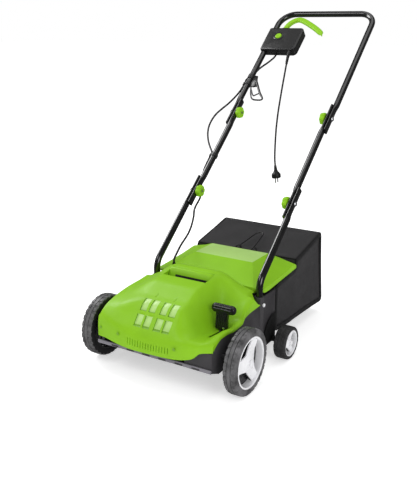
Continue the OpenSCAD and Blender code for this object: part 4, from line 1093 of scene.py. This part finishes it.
# the stem from its foot upwards: y, z, half width, half depth
stem = np.array([(34.4, 164.5, 9, 7), (34.6, 166.5, 15, 10), (34.9, 170, 18.6, 11), (36, 182, 19.2, 11.4),
                 (38.6, 200, 18.4, 11), (41.5, 216, 20, 11), (42.6, 224, 24, 11)])
path = np.column_stack([np.full(len(stem), STEM_X), stem[:, :2]])
handle_parts.append(swept(path, stem[:, 2], stem[:, 3], (1, 0, 0), 32, 5))
for dx in (-12, -6, 0, 6, 12):
    rib_path = [(STEM_X + dx, 23.7, 176), (STEM_X + dx, 26.0, 192), (STEM_X + dx, 29.8, 214)]
    handle_parts.append(swept(rib_path, 1.5, 1.9, (1, 0, 0), 10, 2.5))
make("height_lever_handle", joined(*handle_parts), mat_black_and_painted_shade, "height_axle", ["height_lever_grip"],
     32)
screw_head = lathe([(3.4, 0), (3.4, 1.6), (2.2, 2.4), (0.01, 2.6)], 24,
                   lambda u, v, w: np.stack([STEM_X + 13 + u, 23.4 - w, 174.5 + v], 1))
make("height_lever_screw", screw_head, mat_steel, "height_axle")

# ---------------------------------------------------------------- cord hook, clips, cables

ring_profile = [(11.06, 844), (12.6, 844), (13.4, 845), (13.4, 863), (12.6, 864), (11.06, 864)]
hook_ring = lathe(ring_profile, 40, lambda u, v, w: on_handle(np.stack([u - LEG, w, v], 1)))
make("cord_hook_ring", hook_ring, mat_black_and_painted_shade, "upper_handle")
loop = [(-176, 842), (-164, 835), (-152, 818), (-138, 796), (-123, 774), (-108, 757), (-103, 748),
        (-109, 742.5), (-124, 741.5), (-139, 743), (-151, 752), (-162, 772), (-172, 798), (-178, 822),
        (-180, 842)]
tongue = [(-166, 790), (-158, 776), (-149, 764), (-144, 762), (-137, 768), (-128, 774)]
loop_path, tongue_path = (spline([(x, s, 0) for x, s in line], 5) for line in (loop, tongue))
arm = np.interp(np.linspace(0, 1, len(loop_path)), [0, 0.3, 0.42, 1], [5, 4.6, 2.9, 2.9])
points, faces = joined(swept(loop_path, 3, arm, (0, 0, 1), 14), swept(tongue_path, 2.3, 2.6, (0, 0, 1), 12))
make("cord_hook_loop", (on_handle(points), faces), mat_black_and_painted_shade, "upper_handle", ["cord_hook"])
web = [(-181, 838), (-176, 812), (-168, 804), (-154, 808), (-147, 812), (-157, 832), (-163, 846), (-167, 862),
       (-182, 863)]
make("cord_hook_web", slab(web, -2.6, 2.6, on_handle), mat_black_and_painted_shade, "upper_handle",
     bevel=(1.2, 2, 30))

CABLE_R = 3.5
upper_route = [[-140, 994.5, -4], [-140, 980, -4], [-144, 970, -6], [-153, 959, -9], [-167, 947, -14],
               [-181, 934, -17], [-192, 918, -18], [-198, 900, -17.5], [-203, 884, -16],
               [-209.5, 867, -11.5], [-212, 853, -6.5], [-212, 842, -2.5], [-209.6, 831, -0.5],
               [-208.9, 824.5, 0], [-208.9, 812, 0]]
loop_route = [[-208.9, 811.5, 0], [-209.5, 800, 0], [-213, 780, -1], [-222, 750, -2], [-236, 718, -3],
              [-253, 690, -4], [-266, 662, -4], [-271, 632, -4], [-269, 600, -4], [-260, 570, -4],
              [-246, 542, -4], [-230, 518, -3], [-214, 498, -2], [-202, 484, -1], [-197, 476, 0],
              [-196.6, 470.5, 0]]
along_tube = [[-196.6, 470, 0], [-196.6, 455, 0], [-197, 430, -1], [-199, 405, -6], [-199, 385, -14],
              [-198, 366, -21], [-192, 345, -27], [-184, 322, -31], [-178, 298, -34]]
to_gland = [[-174, 405, 408], [-166, 385, 383], [-154, 352, 360], [-140, 312, 346], [-126, 268, 338],
            [-114, 226, 330], [-104, 192, 319], [-100, 171, 308], [-100, 165, 298], [-100, 165, 291],
            [-100, 165, 278], [-100, 165, 264]]


def cable(name, route, body, node, attach=True):
    path = spline(route, 6)
    solid = swept(path, CABLE_R, CABLE_R, carried(path, (1, 0.1, 0.05)), 16)
    return make(name, solid, mat_cable, body, [node], attach=attach)


def row_point(points):
    return tuple(to_row(points)[0])


cable("motor_cable_top", on_handle(upper_route), "upper_handle", "cable_upper")
loop_cable = cable("motor_cable_loop", on_handle(loop_route), "upper_handle", "cable_loop", attach=False)
row_point(on_handle([(-209, 735, 0)]))
row_point(on_handle([(-209, 530, 0)]))
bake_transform(loop_cable)
low_cable = cable("motor_cable_low", np.concatenate([on_handle(along_tube), to_gland]), "middle_handle",
                  "cable_lower", attach=False)
row_point(on_handle([(-197, 400, 0)]))
row_point([(-130, 290, 328)])
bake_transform(low_cable)

# ---------------------------------------------------------------- bag

bag_outline = [(306, 64), (411, 54), (696, 42), (700, 46), (668, 309), (663, 313), (460, 269), (456, 238),
               (306, 218)]
middle = np.array([540.0, 165.0])
BAG_HALF = 197.0
CORNER_R = 9


def resampled(polygon, spacing):
    """A closed polygon with rounded corners, as evenly spaced points."""
    p = np.asarray(polygon, float)
    out = []
    for k, b in enumerate(p):
        u, v = p[k - 1] - b, p[(k + 1) % len(p)] - b
        cut = min(CORNER_R, 0.45 * np.linalg.norm(u), 0.45 * np.linalg.norm(v))
        start, end = b + u / np.linalg.norm(u) * cut, b + v / np.linalg.norm(v) * cut
        out += [(1 - t) ** 2 * start + 2 * t * (1 - t) * b + t * t * end for t in np.linspace(0, 1, 7)]
    out = np.array(out + [out[0]])
    run = np.concatenate([[0], np.cumsum(np.linalg.norm(np.diff(out, axis=0), axis=1))])
    at_run = np.linspace(0, run[-1], int(run[-1] / spacing), endpoint=False)
    return np.column_stack([np.interp(at_run, run, out[:, k]) for k in (0, 1)])


def drawn_in(line, distance):
    """A line round the bag's side, moved towards the side's middle."""
    return line + unit(middle - line) * distance


ring = resampled(bag_outline, 7)
around = len(ring)
# how far the cloth's last lines draw in to the side panels, by their distance from the side
TURN_IN = {1.2: 3.4, 3.0: 1.3}
bag_x = [BAG_HALF - d for d in TURN_IN]
bag_x = np.concatenate([[-x for x in bag_x], np.linspace(-BAG_HALF + 7, BAG_HALF - 7, 54), bag_x[::-1]])
stations = []
for x in bag_x:
    q = drawn_in(ring, TURN_IN.get(round(BAG_HALF - abs(x), 1), 0))
    stations.append(np.column_stack([np.full(around, x), q]))
bag_parts = [(np.concatenate(stations), grid_faces(len(stations), around, wrap=True))]
for side, base_ring in ((-1, stations[0]), (1, stations[-1])):
    rings = [base_ring]
    for t in np.linspace(0.06, 0.985, 16):
        panel_x = np.full(around, side * (BAG_HALF - 0.9))
        rings.append(np.column_stack([panel_x, mix(base_ring[:, 1:], middle, t)]))
    faces = grid_faces(len(rings), around, wrap=True) + end_caps(len(rings), around)[1:]
    bag_parts.append((np.concatenate(rings), faces))
points, faces = joined(*bag_parts)
# the cloth hangs between its seams: panels draw in, with long soft folds; x, y and z are views of the points
x, y, z = points.T
top_line = np.interp(y, [460, 663], [269, 313])
on_side = smooth(0.965, 0.995, np.abs(x) / BAG_HALF)
in_from_edge = np.minimum.reduce([smooth(0, 90, top_line - z), smooth(0, 70, z - 50), smooth(0, 80, 690 - y)])
folds = wave(points * np.array([1, 1.6, 0.55]), 3, 34)
x -= np.sign(x) * on_side * in_from_edge * (5.5 + 2.6 * folds)
on_top = smooth(0, 6, z - top_line + 8) * smooth(462, 490, y) * (1 - smooth(640, 662, y))
sag = (1 - (np.abs(x) / BAG_HALF) ** 2.2) * on_top
z -= sag * (5.0 + 1.6 * wave(points, 5, 28)) * (1 - on_side)
rear_line = np.interp(z, [46, 309], [700, 668])
on_rear = smooth(0, 8, y - rear_line + 10) * smooth(60, 100, z) * (1 - smooth(270, 305, z))
y -= on_rear * (1 - (np.abs(x) / BAG_HALF) ** 2.4) * (5.5 + 2.2 * wave(points, 8, 36))


def at_mouth(face):
    """Whether a face lies in the bag's open mouth."""
    corners = points[list(face)]
    mean_x, _, mean_z = corners.mean(0)
    return len(face) == 4 and (corners[:, 1] < 308.5).all() and 72 < mean_z < 208 and abs(mean_x) < 190


make("bag_cloth_shell", (points, [f for f in faces if not at_mouth(f)]), mat_bag, "bag", ["bag_shell"],
     50, solid=1.4)


def closed_run(x, line):
    """A closed line round the bag's side at x, with two points of overlap."""
    return np.column_stack([np.full(len(line) + 2, x), np.concatenate([line, line[:2]])])


# bound seams round both side panels, and across the top rear edge
binding = []
for side in (-1, 1):
    edge_run = closed_run(side * (BAG_HALF - 2.6), drawn_in(ring, 1.2))
    binding.append(swept(edge_run, 3.0, 2.2, (1, 0, 0), 10, 2.6, caps=False))
    tape_run = closed_run(side * (BAG_HALF + 0.3), drawn_in(ring, 10))
    binding.append(swept(tape_run, 1.0, 8.0, (1, 0, 0), 10, 4, caps=False))
for y, z in ((663.5, 311.0), (461, 268.0), (697.5, 45.0)):
    path = [(x, y - 0.6 * math.cos(x / 50), z) for x in np.linspace(-BAG_HALF + 4, BAG_HALF - 4, 50)]
    binding.append(swept(path, 2.4, 2.0, (0, 1, 0), 10, 2.4))
make("bag_seam_binding", joined(*binding), mat_binding, "bag")
# stitches along the tape, behind the frame
STITCH_FROM_Y = 312
stitches = []
for x in (-BAG_HALF - 1.2, BAG_HALF + 1.2):
    line = drawn_in(resampled(bag_outline, 5.2), 14)
    for place, step in zip(line, np.diff(line, axis=0) * 0.3):
        if place[0] >= STITCH_FROM_Y:
            stitches.append(swept([(x, *(place - step)), (x, *(place + step))], 0.45, 0.45, (1, 0, 0), 6))
make("bag_stitching", joined(*stitches), mat_thread, "bag")

# wire bail, lying on the bag's top
bag_slope = math.atan((313 - 269) / (663 - 460))
bail_half = [(27, 0), (25, 20), (21, 52), (16, 88), (13.5, 101), (8, 108)]
bail_line = [(-x, s, 0) for x, s in bail_half] + [(0, 110, 0)] + [(x, s, 0) for x, s in bail_half[::-1]]
x, s, _ = spline(bail_line, 6).T
bail_path = np.stack([x, 472 + s * math.cos(bag_slope), 279 + s * math.sin(bag_slope)], 1)
make("bag_bail_wire", swept(bail_path, 2, 2, (0, -math.sin(bag_slope), math.cos(bag_slope)), 14), mat_tube,
     "bail", ["bag_bail"])
loops = []
for x in (-31, 31):
    angles = np.linspace(0.1, math.pi - 0.1, 12)
    band = [(x + 9 * math.cos(a), 470, 271.5 + 8.5 * math.sin(a)) for a in angles]
    loops.append(swept(band, 5, 1.0, (0, 1, 0), 8, 4))
make("bag_bail_loops", joined(*loops), mat_binding, "bag")

# ---------------------------------------------------------------- carried-over CAD nodes

finish_of = {
    mat_dark: ["base_housing", "reel_pulley"],
    mat_steel: ["lower_bolts", "upper_bolts", "flap_spring", "reel_bearings"],
    mat_dull_steel: ["motor_housing", "motor_rotor", "motor_pulley", "rear_axle", "front_axle", "reel_shaft",
                     "reel_tines"],
    mat_black_and_painted_shade: ["belt_cover", "cable_gland", "motor_fan", "bag_frame", "cable_clip_lower", "cable_clip_upper",
                "height_lever", "flap_hinge_pin"],
    mat_rim: ["front_axle_caps", "rear_axle_caps", "side_screws"],
    # the hood's screws in the darker green: painted shade
    mat_green_painted_shade: ["hood_screws"],
    mat_cable: ["drive_belt"],
}
for material, names in finish_of.items():
    for name in names:
        data = nodes[name].data
        data.materials.clear()
        data.materials.append(material)
        data.polygons.foreach_set("material_index", np.zeros(len(data.polygons), np.int32))

# ---------------------------------------------------------------- stage

FLOOR_HALF = 30
floor_mesh = bpy.data.meshes.new("floor")
floor_corners = [(x * FLOOR_HALF, y * FLOOR_HALF, 0) for x, y in ((-1, -1), (1, -1), (1, 1), (-1, 1))]
floor_mesh.from_pydata(floor_corners, [], [(0, 1, 2, 3)])
floor = add_to_scene("floor", floor_mesh)
floor_mat, floor_tree, floor_shader = new_material("floor")
floor_noise = noise_node(floor_tree, coordinates(floor_tree), 1.5, 2)
floor_tone = ramp(floor_tree, floor_noise, ((0.91,) * 3, (0.93,) * 3))
link(floor_tree, floor_tone, floor_shader.inputs["Base Color"])
link(floor_tree, floor_tone, floor_shader.inputs["Emission Color"])
# evened out away from the lights, so that the floor stays as pale as the backdrop
away = floor_tree.nodes.new("ShaderNodeVectorMath")
away.operation = "LENGTH"
link(floor_tree, coordinates(floor_tree), away.inputs[0])
glow = remap(floor_tree, away.outputs["Value"], 0.56, 0.68, 0.6, 4.0, "SMOOTHSTEP")
link(floor_tree, glow, floor_shader.inputs["Emission Strength"])
floor_shader.inputs["Roughness"].default_value = 0.9
floor_shader.inputs["Specular IOR Level"].default_value = 0.1
floor_mesh.materials.append(floor_mat)
floor.visible_glossy = False

# the backdrop is white, the room lights the surfaces at half of that, and reflections see a darker room
# still, so that black paint stays black
ROOM, REFLECTED = 0.5, 0.25
world = bpy.data.worlds.new("world")
world.use_nodes = True
world_tree = world.node_tree
background = world_tree.nodes["Background"]
background.inputs["Color"].default_value = (1, 1, 1, 1)
ray = world_tree.nodes.new("ShaderNodeLightPath")
level = remap(world_tree, ray.outputs["Is Camera Ray"], ROOM, 1.0)
dimmer = remap(world_tree, ray.outputs["Is Glossy Ray"], 1.0, REFLECTED)
link(world_tree, math_node(world_tree, "MULTIPLY", level, dimmer), background.inputs["Strength"])
bpy.context.scene.world = world


def area_light(name, place, target, size, power):
    data = bpy.data.lights.new(name, "AREA")
    data.shape, data.size, data.size_y, data.energy = "RECTANGLE", *size, power
    light = add_to_scene(name, data)
    light.location = place
    light.rotation_euler = (Vector(target) - Vector(place)).to_track_quat("-Z", "Y").to_euler()


area_light("key", (-1.7, -2.3, 2.7), (0, 0, 0.3), (1.3, 1.3), 21)
area_light("top", (0.2, 0.5, 3.2), (0, 0, 0.3), (2.2, 2.2), 18)
area_light("fill", (2.5, -1.8, 1.5), (0, -0.3, 0.2), (1.5, 1.5), 28)
area_light("streak", (-2.5, 0.2, 2.3), (0, 0.1, 0.6), (1.1, 2.6), 62)
bpy.context.scene.view_settings.view_transform = "Standard"
